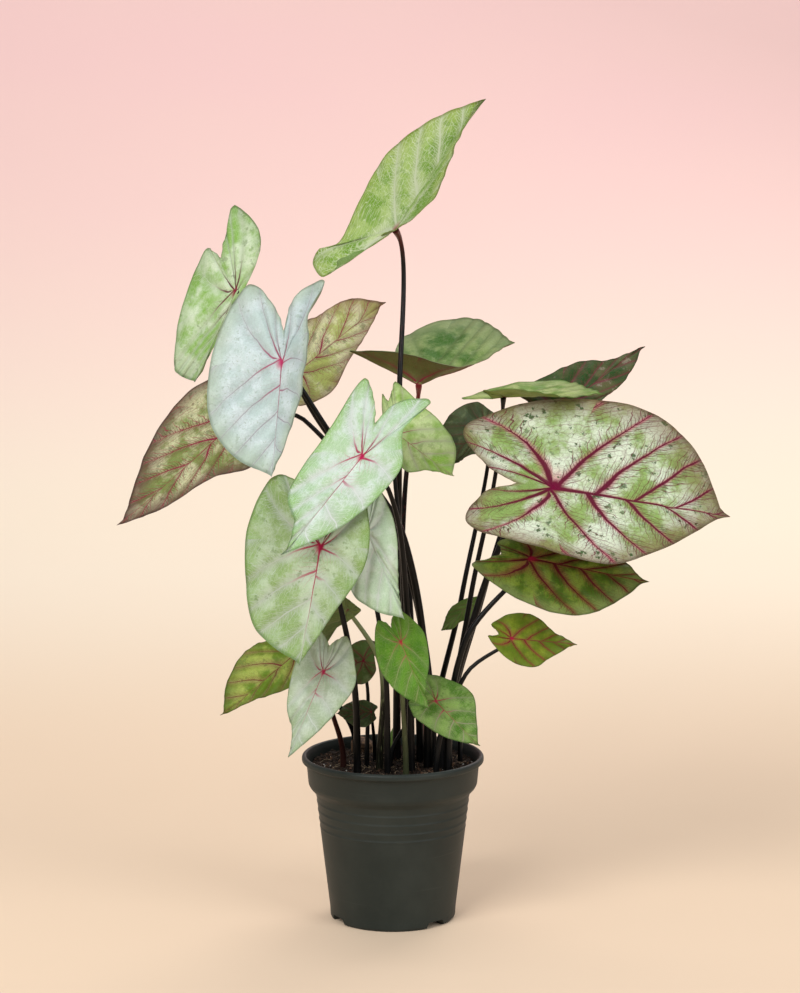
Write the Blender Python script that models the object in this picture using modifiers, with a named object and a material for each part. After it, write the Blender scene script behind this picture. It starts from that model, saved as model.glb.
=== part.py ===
"""A caladium in its plastic nursery pot, in metres, +Z up, seen from -Y.

The origin is the centre of the pot's foot. Each leaf is a thin blade and a stalk
that stands in a hole in the soil.
"""
import math

import bmesh
import bpy
from mathutils import Vector, noise

MM = 0.001

# Pot: outer radii and heights of a 14 cm nursery pot.
RIM_RADIUS = 70.0 * MM
POT_HEIGHT = 128.0 * MM
BEAD_HEIGHT = 5.5 * MM
COLLAR_RADIUS = 66.5 * MM
COLLAR_FOOT_RADIUS = 63.6 * MM
COLLAR_FOOT = 102.7 * MM
NECK_RADIUS = 59.1 * MM
NECK_HEIGHT = 98.0 * MM
BASE_RADIUS = 48.4 * MM
WALL = 1.6 * MM
FLOOR = 4.0 * MM
FOOT_RADIUS = 22.0 * MM
RING_HEIGHTS = (92.0 * MM, 85.0 * MM, 78.0 * MM, 72.0 * MM)
RING_RISE = 0.4 * MM
POT_STEPS = 36
NOTCH_ANGLES = (-152.0, -47.0, 28.0, 133.0)
NOTCH_WIDTH = 20.0 * MM
NOTCH_HEIGHT = 5.0 * MM
NOTCH_ROOF_SLOPE = 0.37
DRAIN_HOLES = 6
DRAIN_RADIUS = 4.0 * MM
DRAIN_CIRCLE = 33.0 * MM
DRAIN_TURN = 7.0

# Soil.
SOIL_HEIGHT = 119.5 * MM
SOIL_STEPS = 30
FIT_GAP = 0.35 * MM

# Leaves: blade thickness and mesh, and how deep a stalk stands in the soil.
BLADE_THICKNESS = 0.9 * MM
BLADE_RINGS = 3
SAMPLES_A_SPAN = 2
MARGIN_WAVE = 1.6 * MM
STALK_STEP = 30.0
STALK_TAPER = 0.5
TIP_GAP = 0.8 * MM
TIP_LENGTH = 5.0 * MM
STALK_FOOT = 108.0 * MM
STALK_COLLAR = 124.0 * MM

# Every leaf in millimetres. attach is where the stalk meets the blade. apex, right,
# right_lobe, sinus, left_lobe and left are points of the margin as (x, z) from there,
# seen from the front, and a third number moves one back. A lobe that ends in a paddle
# has a list of such points. bulges are how far the
# margin swells between each two of them, as a share of their distance. turn and lean
# are the angles in degrees by which the blade faces sideways and upwards. foot is the
# stalk's (x, y) in the soil, thick its radius there, and via the points it bends through.
LEAVES = {
    "top": dict(
        attach=(2, 0, 530), turn=-15, lean=25, apex=(66, 97), right=(41, 54, -30),
        right_lobe=(3, 3, -18), sinus=(-11, -5),
        left_lobe=[(-42, -17), (-45, -28, -8), (-55, -34, -10), (-62, -25, -4), (-57, -15), (-41, -8)],
        left=(-3, 59, 5), bulges=(-0.04, 0.13, 0.02, 0.1, 0.03, 0.06), foot=(3, 12), thick=3.2,
        via=[(5, 4, 401)], look="bright"),
    "upper_left": dict(
        attach=(-116, -35, 487), turn=-30, lean=15, apex=(-30, -67), right=(-47, -54),
        right_lobe=(-25, 27), sinus=(-11, 23), left_lobe=(-2, 62), left=(15, 20, 4),
        bulges=(0.2, 0.06, 0.2, 0.03, 0.25, 0.0), foot=(31, 4), thick=3.0,
        via=[(6, -4, 291), (-58, -20, 392)], look="streaked"),
    "white": dict(
        attach=(-81, -60, 437), turn=-12, lean=18, apex=(-7, -81), right=(-55, -37),
        right_lobe=(-27, 54), sinus=(1, 22), left_lobe=(31, 59), left=(19, 10, -24),
        bulges=(0.15, 0.1, 0.16, 0.2, -0.1, 0.05), foot=(27, -8), thick=3.4,
        via=[(9, -24, 298), (-46, -48, 382)], look="white"),
    "left_back": dict(
        attach=(-116, 25, 386), turn=-15, lean=25, apex=(-91, -81), right=(-69, -19),
        right_lobe=(-1, 36), sinus=(13, 7), left_lobe=(32, -10), left=(-23, -46),
        bulges=(0.02, 0.12, 0.04, 0.04, 0.14, 0.04), foot=(21, 14), thick=3.0,
        via=[(-3, 22, 286), (-68, 16, 385)], look="bronze"),
    "mid_back": dict(
        attach=(-73, 40, 419), turn=12, lean=28, apex=(65, 50), right=(39, 7),
        right_lobe=(2, -25), sinus=(-7, -3), left_lobe=(-11, 19), left=(15, 41),
        bulges=(0.03, 0.17, 0.04, 0.04, 0.15, 0.15), foot=(12, 24), thick=3.0,
        via=[(6, 34, 286), (-52, 40, 374)], look="olive"),
    "back_cup": dict(
        attach=(20, 60, 406), turn=0, lean=40, apex=(73, 30, 12), right=(25, 17, -30),
        right_lobe=(-53, 28, -40), sinus=(-21, 11), left_lobe=(-12, 31, 36), left=(41, 45, 46),
        bulges=(-0.1, 0.05, -0.15, 0.1, 0.08, 0.1), foot=(14, 38), thick=3.0,
        via=[(7, 36, 241), (10, 52, 333)], look="olive"),
    "centre": dict(
        attach=(-22, -90, 371), turn=5, lean=22, apex=(-56, -67), right=(-53, -23),
        right_lobe=(0, 54), sinus=(9, 23), left_lobe=(50, 38), left=(27, -11),
        bulges=(-0.12, 0.0, 0.13, 0.18, -0.18, 0.08), foot=(14, -25), thick=3.0,
        via=[(8, -44, 287), (-3, -66, 343)], look="pale"),
    "centre_behind": dict(
        attach=(3, -38, 381), turn=10, lean=22, apex=(41, -31), right=(6, -26),
        right_lobe=(-11, 27), sinus=(-6, 23), left_lobe=(0, 37), left=(34, 6),
        bulges=(-0.05, 0.11, 0.04, 0.04, 0.0, 0.18), foot=(12, -5), thick=2.6,
        via=[(7, -20, 282)], look="cream"),
    "low_broad": dict(
        attach=(-52, -100, 306), turn=-6, lean=18, apex=(-15, -82), right=(-55, -21),
        right_lobe=(-36, 48), sinus=(-1, 32), left_lobe=(29, 40), left=(31, -15),
        bulges=(0.2, 0.11, 0.15, 0.08, 0.1, 0.0), foot=(-27, -28), thick=3.0,
        via=[(-31, -60, 215)], look="pale"),
    "low_hanging": dict(
        attach=(-19, -82, 315), turn=8, lean=14, apex=(27, -63), right=(-11, -43),
        right_lobe=(-11, 22), sinus=(-1, 19), left_lobe=(11, 27), left=(23, -29),
        bulges=(0.1, 0.09, 0.04, 0.04, 0.08, -0.04), foot=(-4, -34), thick=2.6,
        via=[(-6, -52, 212)], look="cream"),
    "yellow_left": dict(
        attach=(-72, -45, 216), turn=-18, lean=28, apex=(-55, -46), right=(-39, -2),
        right_lobe=(-1, 17), sinus=(9, 5), left_lobe=(17, -5), left=(-8, -26),
        bulges=(0.12, 0.02, 0.04, 0.04, 0.11, -0.03), foot=(-29, 28), thick=2.4,
        via=[(-38, 2, 160)], look="young"),
    "low_white": dict(
        attach=(-51, -80, 209), turn=-8, lean=22, apex=(-25, -59), right=(-27, -24),
        right_lobe=(-8, 28), sinus=(4, 18), left_lobe=(18, 24), left=(22, -12),
        bulges=(-0.08, 0.08, 0.2, 0.13, 0.09, 0.04), foot=(-38, -8), thick=2.4,
        via=[(-46, -34, 169)], look="white"),
    "small_back": dict(
        attach=(-22, -25, 206), turn=0, lean=30, apex=(-23, -8), right=(-11, 10),
        right_lobe=(11, 12), sinus=(8, 3), left_lobe=(9, -8), left=(-7, -16),
        bulges=(0.11, 0.15, 0.04, 0.04, 0.2, 0.2), foot=(-20, -8), thick=2.0,
        via=[(-19, -6, 175)], look="dark"),
    "tiny_dark": dict(
        attach=(-16, -20, 165), turn=0, lean=35, apex=(-26, -1), right=(-15, 7),
        right_lobe=(4, 4), sinus=(2, 0), left_lobe=(3, -5), left=(-14, -9),
        bulges=(0.12, 0.13, 0.04, 0.04, 0.18, 0.03), foot=(-14, 8), thick=1.8,
        via=[], look="dark"),
    "young_green": dict(
        attach=(6, -72, 230), turn=8, lean=14, apex=(20, -48), right=(-13, -24),
        right_lobe=(-18, 14), sinus=(-7, 10), left_lobe=(1, 22), left=(21, -16),
        bulges=(0.09, 0.09, 0.2, 0.25, 0.16, -0.06), foot=(10, -39), thick=2.4,
        via=[(7, -52, 189)], look="young"),
    "low_green": dict(
        attach=(32, -48, 180), turn=8, lean=26, apex=(32, -32), right=(-13, -13),
        right_lobe=(-20, 0), sinus=(-8, 3), left_lobe=(-6, 18), left=(28, 4),
        bulges=(0.08, 0.11, 0.03, 0.11, 0.08, 0.03), foot=(-2, -12), thick=2.2,
        via=[(17, -14, 162)], look="dark"),
    "big_right": dict(
        attach=(118, -70, 345), turn=4, lean=35, apex=(125, -20), right=(40, -51),
        right_lobe=(-63, -24), sinus=(-26, 3), left_lobe=(-63, 43), left=(67, 54),
        bulges=(0.05, 0.02, 0.22, 0.15, 0.09, 0.14), foot=(38, -15), thick=3.6,
        via=[(65, -16, 248), (95, -36, 323)], look="crimson"),
    "pink_right": dict(
        attach=(124, 15, 390), turn=8, lean=48, apex=(70, 45), right=(43, 12),
        right_lobe=(-12, -2), sinus=(-12, 2), left_lobe=(-28, 15), left=(21, 35),
        bulges=(0.08, -0.1, 0.04, 0.04, 0.02, -0.08), foot=(41, 10), thick=2.8,
        via=[(70, 8, 254), (100, 16, 346)], look="pink"),
    "edge_right": dict(
        attach=(83, -20, 406), turn=0, lean=45, apex=(73, 4, -10), right=(26, 8, -46),
        right_lobe=(-15, 8, -34), sinus=(-8, -1), left_lobe=(-30, -1, 8), left=(50, 6, 48),
        bulges=(-0.06, 0.02, 0.0, 0.0, 0.05, 0.03), foot=(43, -2), thick=2.6,
        via=[(59, -4, 249), (77, -10, 342)], look="young"),
    "right_mid": dict(
        attach=(103, -45, 288), turn=0, lean=30, apex=(85, -16), right=(30, -39),
        right_lobe=(-43, -6), sinus=(-22, 3), left_lobe=(-22, 12), left=(52, 10),
        bulges=(0.09, 0.08, 0.04, 0.04, 0.12, 0.04), foot=(42, -27), thick=3.0,
        via=[(55, -32, 223)], look="crimson"),
    "right_small": dict(
        attach=(89, -40, 226), turn=8, lean=30, apex=(48, -5), right=(16, -20),
        right_lobe=(-17, 1), sinus=(-9, 3), left_lobe=(-14, 11), left=(19, 15),
        bulges=(0.0, 0.13, 0.04, 0.04, 0.13, -0.05), foot=(33, -35), thick=2.4,
        via=[(55, -34, 197)], look="young"),
    "dark_back": dict(
        attach=(73, 35, 377), turn=-10, lean=30, apex=(-40, -29), right=(-35, -1),
        right_lobe=(-9, 18), sinus=(9, 7), left_lobe=(20, -2), left=(-14, -21),
        bulges=(0.14, 0.13, 0.04, 0.04, 0.16, 0.1), foot=(30, 24), thick=2.6,
        via=[(53, 34, 243)], look="dark"),
    "stalk_side": dict(
        attach=(60, 25, 240), turn=-15, lean=30, apex=(-22, -19), right=(-15, -3),
        right_lobe=(6, 6), sinus=(4, 2), left_lobe=(6, -5), left=(-8, -13),
        bulges=(0.05, 0.08, 0.04, 0.04, 0.08, 0.13), foot=(52, 4), thick=2.0,
        via=[(51, 19, 198)], look="young"),
    "olive_low": dict(
        attach=(-33, -45, 249), turn=0, lean=20, apex=(-25, -37), right=(-30, -9, -3),
        right_lobe=(-6, 10), sinus=(3, 5), left_lobe=(9, -1), left=(-10, -14, 3),
        bulges=(0.13, 0.11, 0.06, 0.06, 0.04, 0.13), foot=(-10, -24), thick=3.0,
        via=[(-9, -36, 205)], look="olive"),
}

# Short pieces that stand in the soil beside the stalks, in millimetres. swells are the
# radius up the piece as shares of its radius in the soil.
STUBS = {
    "sprout": dict(foot=(-1, 40), radius=3.0, height=16, lean=(2, -1),
                   swells=(1.1, 1.0, 0.75, 0.4, 0.15), colour=(0.32, 0.50, 0.12)),
    "sheath": dict(foot=(28, 38), radius=2.6, height=26, lean=(-8, -4),
                   swells=(1.1, 1.0, 0.8, 0.5, 0.2), colour=(0.30, 0.03, 0.05)),
    "corm": dict(foot=(-24, 45), radius=8.0, height=5, lean=(1, -1),
                 swells=(1.05, 1.0, 0.85, 0.6, 0.4), colour=(0.16, 0.09, 0.045)),
}

BLADE_COLOURS = {
    "bright": (0.20, 0.42, 0.10), "streaked": (0.24, 0.42, 0.22), "white": (0.72, 0.82, 0.72),
    "bronze": (0.20, 0.24, 0.08), "olive": (0.36, 0.42, 0.14), "pale": (0.50, 0.70, 0.45),
    "cream": (0.55, 0.62, 0.38), "young": (0.36, 0.55, 0.14), "dark": (0.09, 0.16, 0.06),
    "crimson": (0.42, 0.58, 0.32), "pink": (0.20, 0.25, 0.14),
}
PLASTIC_COLOUR = (0.045, 0.046, 0.040)
SOIL_COLOUR = (0.045, 0.028, 0.018)
STALK_COLOUR = (0.035, 0.018, 0.016)


def clear_scene():
    for obj in list(bpy.data.objects):
        bpy.data.objects.remove(obj)


def make_collection(name):
    collection = bpy.data.collections.new(name)
    bpy.context.scene.collection.children.link(collection)
    return collection


def make_material(name, colour, roughness):
    material = bpy.data.materials.new(name)
    material.use_nodes = True
    shader = material.node_tree.nodes["Principled BSDF"]
    shader.inputs["Base Color"].default_value = (*colour, 1.0)
    shader.inputs["Roughness"].default_value = roughness
    return material


def add_object(name, mesh, collection, material=None):
    obj = bpy.data.objects.new(name, mesh)
    collection.objects.link(obj)
    if material:
        mesh.materials.append(material)
    return obj


def add_cutter(name, mesh, collection):
    cutter = add_object(name, mesh, collection)
    cutter.hide_render = True
    cutter.display_type = "WIRE"
    return cutter


def cut(obj, cutter):
    modifier = obj.modifiers.new(cutter.name, "BOOLEAN")
    modifier.operation = "DIFFERENCE"
    modifier.solver = "EXACT"
    modifier.object = cutter


def turned(name, profile, steps, collection, material):
    """A solid of revolution from (radius, height) points that run from the top, outside, to the axis and back."""
    mesh = bpy.data.meshes.new(name)
    points = [(radius, 0.0, height) for radius, height in profile]
    edges = [(i, (i + 1) % len(points)) for i in range(len(points))]
    on_axis = [i for i, (radius, _) in enumerate(profile) if radius == 0.0]
    edges.remove(tuple(on_axis))
    mesh.from_pydata(points, edges, [])
    obj = add_object(name, mesh, collection, material)
    screw = obj.modifiers.new("Turn", "SCREW")
    screw.axis = "Z"
    screw.steps = steps
    screw.render_steps = steps
    screw.use_merge_vertices = True
    screw.merge_threshold = 0.00001
    screw.use_smooth_shade = True
    return obj


def wall_radius(height):
    """Outer radius of the pot's tapered body."""
    return BASE_RADIUS + (NECK_RADIUS - BASE_RADIUS) * (height - 6 * MM) / (NECK_HEIGHT - 6 * MM)


def inner_radius(height):
    """Inner radius of the pot at a height above its floor."""
    if height < NECK_HEIGHT:
        return wall_radius(height) - WALL
    blend = min(1.0, (height - NECK_HEIGHT) / (COLLAR_FOOT - NECK_HEIGHT))
    return NECK_RADIUS - WALL + blend * (COLLAR_FOOT_RADIUS - NECK_RADIUS)


def pot_profile():
    bead_foot = POT_HEIGHT - BEAD_HEIGHT
    outer = [
        (RIM_RADIUS - 2.6 * MM, POT_HEIGHT - 0.4 * MM),
        (RIM_RADIUS - 1.2 * MM, POT_HEIGHT),
        (RIM_RADIUS - 0.2 * MM, POT_HEIGHT - 0.9 * MM),
        (RIM_RADIUS, POT_HEIGHT - 2.4 * MM),
        (RIM_RADIUS - 0.4 * MM, bead_foot + 0.9 * MM),
        (RIM_RADIUS - 1.6 * MM, bead_foot),
        (COLLAR_RADIUS + 0.2 * MM, bead_foot - 0.6 * MM),
        (COLLAR_RADIUS - 1.5 * MM, COLLAR_FOOT + 2.8 * MM),
        (COLLAR_FOOT_RADIUS, COLLAR_FOOT),
        (NECK_RADIUS + 0.6 * MM, NECK_HEIGHT + 0.6 * MM),
    ]
    for height in RING_HEIGHTS:
        radius = wall_radius(height)
        outer.append((radius, height + 1.1 * MM))
        outer.append((radius + RING_RISE, height))
        outer.append((radius, height - 1.1 * MM))
    outer += [
        (wall_radius(8 * MM), 8 * MM),
        (BASE_RADIUS - 0.2 * MM, 1.4 * MM),
        (BASE_RADIUS - 1.5 * MM, 0.0),
        (BASE_RADIUS - 6.0 * MM, 0.0),
        (BASE_RADIUS - 7.5 * MM, 2.0 * MM),
        (FOOT_RADIUS + 1.5 * MM, 2.0 * MM),
        (FOOT_RADIUS, 0.0),
        (0.0, 0.0),
    ]
    inner = [
        (0.0, FLOOR),
        (inner_radius(FLOOR) - 4 * MM, FLOOR),
        (inner_radius(9 * MM), 9 * MM),
        (inner_radius(NECK_HEIGHT - MM), NECK_HEIGHT - MM),
        (inner_radius(COLLAR_FOOT + MM), COLLAR_FOOT + MM),
        (RIM_RADIUS - 4.6 * MM, POT_HEIGHT - 4.5 * MM),
        (RIM_RADIUS - 3.4 * MM, POT_HEIGHT - 1.4 * MM),
    ]
    return outer + inner


def make_notch(index, angle, collection):
    """A wedge that cuts one of the slanted notches in the pot's lower edge."""
    shape = bmesh.new()
    bmesh.ops.create_cube(shape, size=1.0)
    for vert in shape.verts:
        flare = 1.0 if vert.co.z < 0 else 0.72
        # The roof slopes down inwards, so that the cut stops short of the pot's floor.
        inwards = -6 * MM if vert.co.x > 0 else 8.4 * MM
        roof = NOTCH_HEIGHT - NOTCH_ROOF_SLOPE * inwards
        vert.co.x = BASE_RADIUS - inwards
        vert.co.y *= NOTCH_WIDTH * flare
        vert.co.z = -MM if vert.co.z < 0 else roof
    mesh = bpy.data.meshes.new(f"notch_{index}")
    shape.to_mesh(mesh)
    shape.free()
    cutter = add_cutter(f"notch_{index}", mesh, collection)
    cutter.rotation_euler = (0.0, 0.0, math.radians(angle))
    return cutter


def make_drains(collection):
    shape = bmesh.new()
    for index in range(DRAIN_HOLES):
        turn = 2 * math.pi * index / DRAIN_HOLES + math.radians(DRAIN_TURN)
        made = bmesh.ops.create_cone(
            shape, cap_ends=True, segments=12, radius1=DRAIN_RADIUS, radius2=DRAIN_RADIUS, depth=20 * MM)
        place = Vector((DRAIN_CIRCLE * math.cos(turn), DRAIN_CIRCLE * math.sin(turn), 0.0))
        bmesh.ops.translate(shape, verts=made["verts"], vec=place)
    mesh = bpy.data.meshes.new("drains")
    shape.to_mesh(mesh)
    shape.free()
    return add_cutter("drains", mesh, collection)


def make_pot(collection, cutters):
    plastic = make_material("plastic", PLASTIC_COLOUR, 0.55)
    pot = turned("pot", pot_profile(), POT_STEPS, collection, plastic)
    cut(pot, make_drains(cutters))
    for index, angle in enumerate(NOTCH_ANGLES):
        cut(pot, make_notch(index, angle, cutters))
    return pot


def soil_top(x, y):
    """Height of the lumpy soil surface."""
    place = Vector((x, y, 0.0)) / (16 * MM)
    return SOIL_HEIGHT + 2.2 * MM * noise.noise(place) + 1.0 * MM * noise.noise(place * 2.7)


def make_soil(collection, cutters):
    """The root ball: it fills the pot and its lumpy top is open to the air."""
    earth = make_material("soil", SOIL_COLOUR, 0.95)
    heights = [FLOOR + FIT_GAP, 9.6 * MM, NECK_HEIGHT - MM, COLLAR_FOOT + 1.4 * MM, SOIL_HEIGHT - 3 * MM]
    radii = [inner_radius(FLOOR) - 4.6 * MM] + [inner_radius(h) - FIT_GAP for h in heights[1:]]
    rings = list(zip(radii, heights))
    top_radius = radii[-1]
    shape = bmesh.new()
    loops = []
    for radius, height in rings:
        loops.append([
            shape.verts.new((radius * math.cos(a), radius * math.sin(a), height)) for a in ring_angles()])
    for share in (0.97, 0.78, 0.56, 0.34, 0.14):
        loops.append([surface_vert(shape, share * top_radius, a) for a in ring_angles()])
    bottom = shape.verts.new((0.0, 0.0, rings[0][1]))
    crown = surface_vert(shape, 0.0, 0.0)
    skin(shape, loops)
    fan(shape, loops[0], bottom, False)
    fan(shape, loops[-1], crown, True)
    mesh = bpy.data.meshes.new("soil")
    shape.to_mesh(mesh)
    shape.free()
    mesh.shade_smooth()
    soil = add_object("soil", mesh, collection, earth)
    cut(soil, make_stalk_holes(cutters))
    return soil


def ring_angles():
    return [2 * math.pi * i / SOIL_STEPS for i in range(SOIL_STEPS)]


def surface_vert(shape, radius, angle):
    x = radius * math.cos(angle)
    y = radius * math.sin(angle)
    return shape.verts.new((x, y, soil_top(x, y)))


def skin(shape, loops):
    """Faces between closed loops of equal length, turned outwards where the loops rise."""
    for low, high in zip(loops, loops[1:]):
        for i in range(len(low)):
            j = (i + 1) % len(low)
            shape.faces.new((low[i], low[j], high[j]))
            shape.faces.new((low[i], high[j], high[i]))


def fan(shape, loop, centre, upward):
    for i in range(len(loop)):
        pair = (loop[i], loop[(i + 1) % len(loop)])
        shape.faces.new((*pair, centre) if upward else (*reversed(pair), centre))


def make_stalk_holes(collection):
    """Plain round holes in the soil, one for each stalk and one for the sprout and the sheath."""
    shape = bmesh.new()
    feet = [(*leaf["foot"], leaf["thick"]) for leaf in LEAVES.values()]
    feet += [(*stub["foot"], stub["radius"]) for stub in STUBS.values()]
    for x, y, radius in feet:
        made = bmesh.ops.create_cone(
            shape, cap_ends=True, segments=9,
            radius1=1.07 * radius * MM + FIT_GAP, radius2=1.07 * radius * MM + FIT_GAP, depth=40 * MM)
        centre = STALK_FOOT - 0.5 * MM + 20 * MM
        bmesh.ops.translate(shape, verts=made["verts"], vec=Vector((x * MM, y * MM, centre)))
    mesh = bpy.data.meshes.new("stalk_holes")
    shape.to_mesh(mesh)
    shape.free()
    return add_cutter("stalk_holes", mesh, collection)


def outline(leaf):
    """Margin points as (x, z, back): those that the leaf names, with one on the bulge after each name."""
    names = ("apex", "right", "right_lobe", "sinus", "left_lobe", "left")
    groups = []
    for name in names:
        places = leaf[name] if isinstance(leaf[name], list) else [leaf[name]]
        groups.append([Vector((*place, 0.0)[:3]) for place in places])
    points = []
    for i, group in enumerate(groups):
        start, end = group[-1], groups[(i + 1) % 6][0]
        chord = end - start
        outward = Vector((-chord.y, chord.x, 0.0))
        middle = (start + end) / 2
        if outward.dot(Vector((middle.x, middle.y, 0.0))) < 0:
            outward.negate()
        points += group
        points.append(middle + outward * leaf["bulges"][i])
    return points


def curve_point(before, start, end, after, t):
    """A point of the Catmull-Rom curve from start to end."""
    a = 2 * start
    b = end - before
    c = 2 * before - 5 * start + 4 * end - after
    d = 3 * start - before - 3 * end + after
    return (a + b * t + c * t * t + d * t ** 3) / 2


def margin(leaf, samples):
    """The blade's edge as a closed list of (x, z, back), sharp at the apex and the sinus."""
    points = outline(leaf)
    count = len(points)
    edge = []
    for i in range(count):
        start, end = points[i], points[(i + 1) % count]
        before = start if i in (0, 6) else points[i - 1]
        after = end if (i + 1) % count in (0, 6) else points[(i + 2) % count]
        for k in range(samples):
            edge.append(curve_point(before, start, end, after, k / samples))
    return edge


def slopes(leaf):
    """How far the blade goes back for each millimetre to the right and for each one up."""
    turn = math.radians(leaf["turn"])
    return math.tan(turn), math.tan(math.radians(leaf["lean"])) / math.cos(turn)


def blade_surface(name, leaf, rings, samples):
    """The attach point, and rows of points on the blade's middle surface from the innermost ring to the edge."""
    turn, lean = slopes(leaf)
    attach = Vector(leaf["attach"])
    edge = margin(leaf, samples)
    phase = 1.7 * list(LEAVES).index(name)
    rows = []
    for ring in range(1, rings + 1):
        share = ring / rings
        row = []
        for k, point in enumerate(edge):
            angle = 2 * math.pi * k / len(edge)
            back = turn * point.x + lean * point.y
            wave = MARGIN_WAVE / MM * (math.sin(3 * angle + phase) + 0.6 * math.sin(5 * angle - phase))
            reach = min(1.0, math.hypot(point.x, point.y) / 40)
            bent = share ** 1.6 * point.z + share ** 2 * wave * reach
            row.append(attach + Vector((share * point.x, share * back + bent, share * point.y)))
        rows.append(row)
    return attach, rows


def make_blade(name, leaf, collection):
    """A thin closed sheet: its two faces have the same triangles, so that they never cross."""
    centre, rows = blade_surface(name, leaf, BLADE_RINGS, SAMPLES_A_SPAN)
    shape = bmesh.new()
    loops = [[shape.verts.new(point * MM) for point in row] for row in rows]
    hub = shape.verts.new(centre * MM)
    fan(shape, loops[0], hub, False)
    skin(shape, loops)
    for face in shape.faces:
        face.normal_update()
    facing = sum((face.normal * face.calc_area() for face in shape.faces), Vector())
    if facing.y > 0:
        bmesh.ops.reverse_faces(shape, faces=shape.faces)
    mesh = bpy.data.meshes.new(f"blade_{name}")
    shape.to_mesh(mesh)
    shape.free()
    mesh.shade_smooth()
    material = make_material(f"blade_{name}", BLADE_COLOURS[leaf["look"]], 0.5)
    blade = add_object(f"blade_{name}", mesh, collection, material)
    sheet = blade.modifiers.new("Thickness", "SOLIDIFY")
    sheet.thickness = BLADE_THICKNESS
    sheet.offset = 0.0
    return blade


def blade_normal(leaf):
    """Unit vector out of the upper side at the attach point."""
    turn, lean = slopes(leaf)
    return Vector((turn, -1.0, lean)).normalized()


def stalk_path(leaf):
    """Points of a stalk: upright in the soil, through its bends, then square on to the blade's underside."""
    foot = Vector((*leaf["foot"], STALK_FOOT / MM))
    collar = Vector((*leaf["foot"], STALK_COLLAR / MM))
    normal = blade_normal(leaf)
    tip = Vector(leaf["attach"]) - normal * (BLADE_THICKNESS / MM / 2 + TIP_GAP / MM)
    neck = tip - normal * (TIP_LENGTH / MM)
    stops = [collar, *(Vector(stop) for stop in leaf["via"]), neck]
    ways = [Vector((0, 0, 1))]
    for before, after in zip(stops, stops[2:]):
        ways.append((after - before).normalized())
    ways.append(normal)
    path = [foot, collar]
    for i in range(len(stops) - 1):
        span = (stops[i + 1] - stops[i]).length
        steps = max(3, round(span / STALK_STEP))
        for k in range(1, steps + 1):
            t = k / steps
            place = stops[i] * (2 * t ** 3 - 3 * t * t + 1) + ways[i] * span * (t ** 3 - 2 * t * t + t)
            place += stops[i + 1] * (3 * t * t - 2 * t ** 3) + ways[i + 1] * span * (t ** 3 - t * t)
            path.append(place)
    return path + [tip]


def make_tube(name, path, radii, collection, material):
    """A closed round tube along points in millimetres."""
    curve = bpy.data.curves.new(name, "CURVE")
    curve.dimensions = "3D"
    curve.bevel_depth = MM
    curve.bevel_resolution = 1
    curve.use_fill_caps = True
    spline = curve.splines.new("POLY")
    spline.points.add(len(path) - 1)
    for point, place, radius in zip(spline.points, path, radii):
        point.co = (*(place * MM), 1.0)
        point.radius = radius
    return add_object(name, curve, collection, material)


def make_stalk(name, leaf, collection):
    path = stalk_path(leaf)
    last = len(path) - 1
    radii = [leaf["thick"] * (1 - STALK_TAPER * max(0, i - 1) / last) for i in range(last + 1)]
    material = make_material(f"stalk_{name}", STALK_COLOUR, 0.35)
    make_tube(f"stalk_{name}", path, radii, collection, material)


def make_stub(name, stub, collection):
    """A short piece that stands in the soil: a sprout, a sheath or the top of a corm."""
    foot = Vector((*stub["foot"], STALK_FOOT / MM))
    height = stub["height"]
    rise = Vector((*stub["lean"], height))
    collar = foot + Vector((0, 0, (STALK_COLLAR - STALK_FOOT) / MM))
    shares = (0.0, 0.25, 0.5, 0.75, 0.93, 1.0)
    path = [foot] + [collar + rise * share for share in shares]
    radii = [stub["radius"] * swell for swell in (1.0, 1.0, *stub["swells"])]
    make_tube(name, path, radii, collection, make_material(name, stub["colour"], 0.6))


def make_leaves(collection):
    for name, leaf in LEAVES.items():
        make_blade(name, leaf, collection)
        make_stalk(name, leaf, collection)


def build():
    clear_scene()
    caladium = make_collection("caladium")
    cutters = make_collection("cutters")
    make_pot(caladium, cutters)
    make_soil(caladium, cutters)
    make_leaves(caladium)
    for name, stub in STUBS.items():
        make_stub(name, stub, caladium)


build()
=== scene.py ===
import math

import bmesh
import bpy
import numpy as np
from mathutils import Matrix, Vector, noise


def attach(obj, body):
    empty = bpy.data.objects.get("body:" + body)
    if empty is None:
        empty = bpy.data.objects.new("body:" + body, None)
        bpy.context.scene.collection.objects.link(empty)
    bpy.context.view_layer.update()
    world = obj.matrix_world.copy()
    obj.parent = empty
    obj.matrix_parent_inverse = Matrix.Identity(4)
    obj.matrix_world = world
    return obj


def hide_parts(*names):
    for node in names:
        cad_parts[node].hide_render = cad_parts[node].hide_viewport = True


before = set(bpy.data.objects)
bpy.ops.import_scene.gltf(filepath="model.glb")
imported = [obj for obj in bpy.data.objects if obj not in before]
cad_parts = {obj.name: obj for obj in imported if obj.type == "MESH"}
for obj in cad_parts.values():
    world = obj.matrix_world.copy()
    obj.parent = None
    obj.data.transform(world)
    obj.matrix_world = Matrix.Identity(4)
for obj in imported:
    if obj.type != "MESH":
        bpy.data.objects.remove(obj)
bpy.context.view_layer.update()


# Pot
# A round nursery pot of thin dark plastic, moulded in one piece: a rolled rim, a straight
# collar to lift it by, four faint rings, a tapered body and drain notches in its foot.

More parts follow.
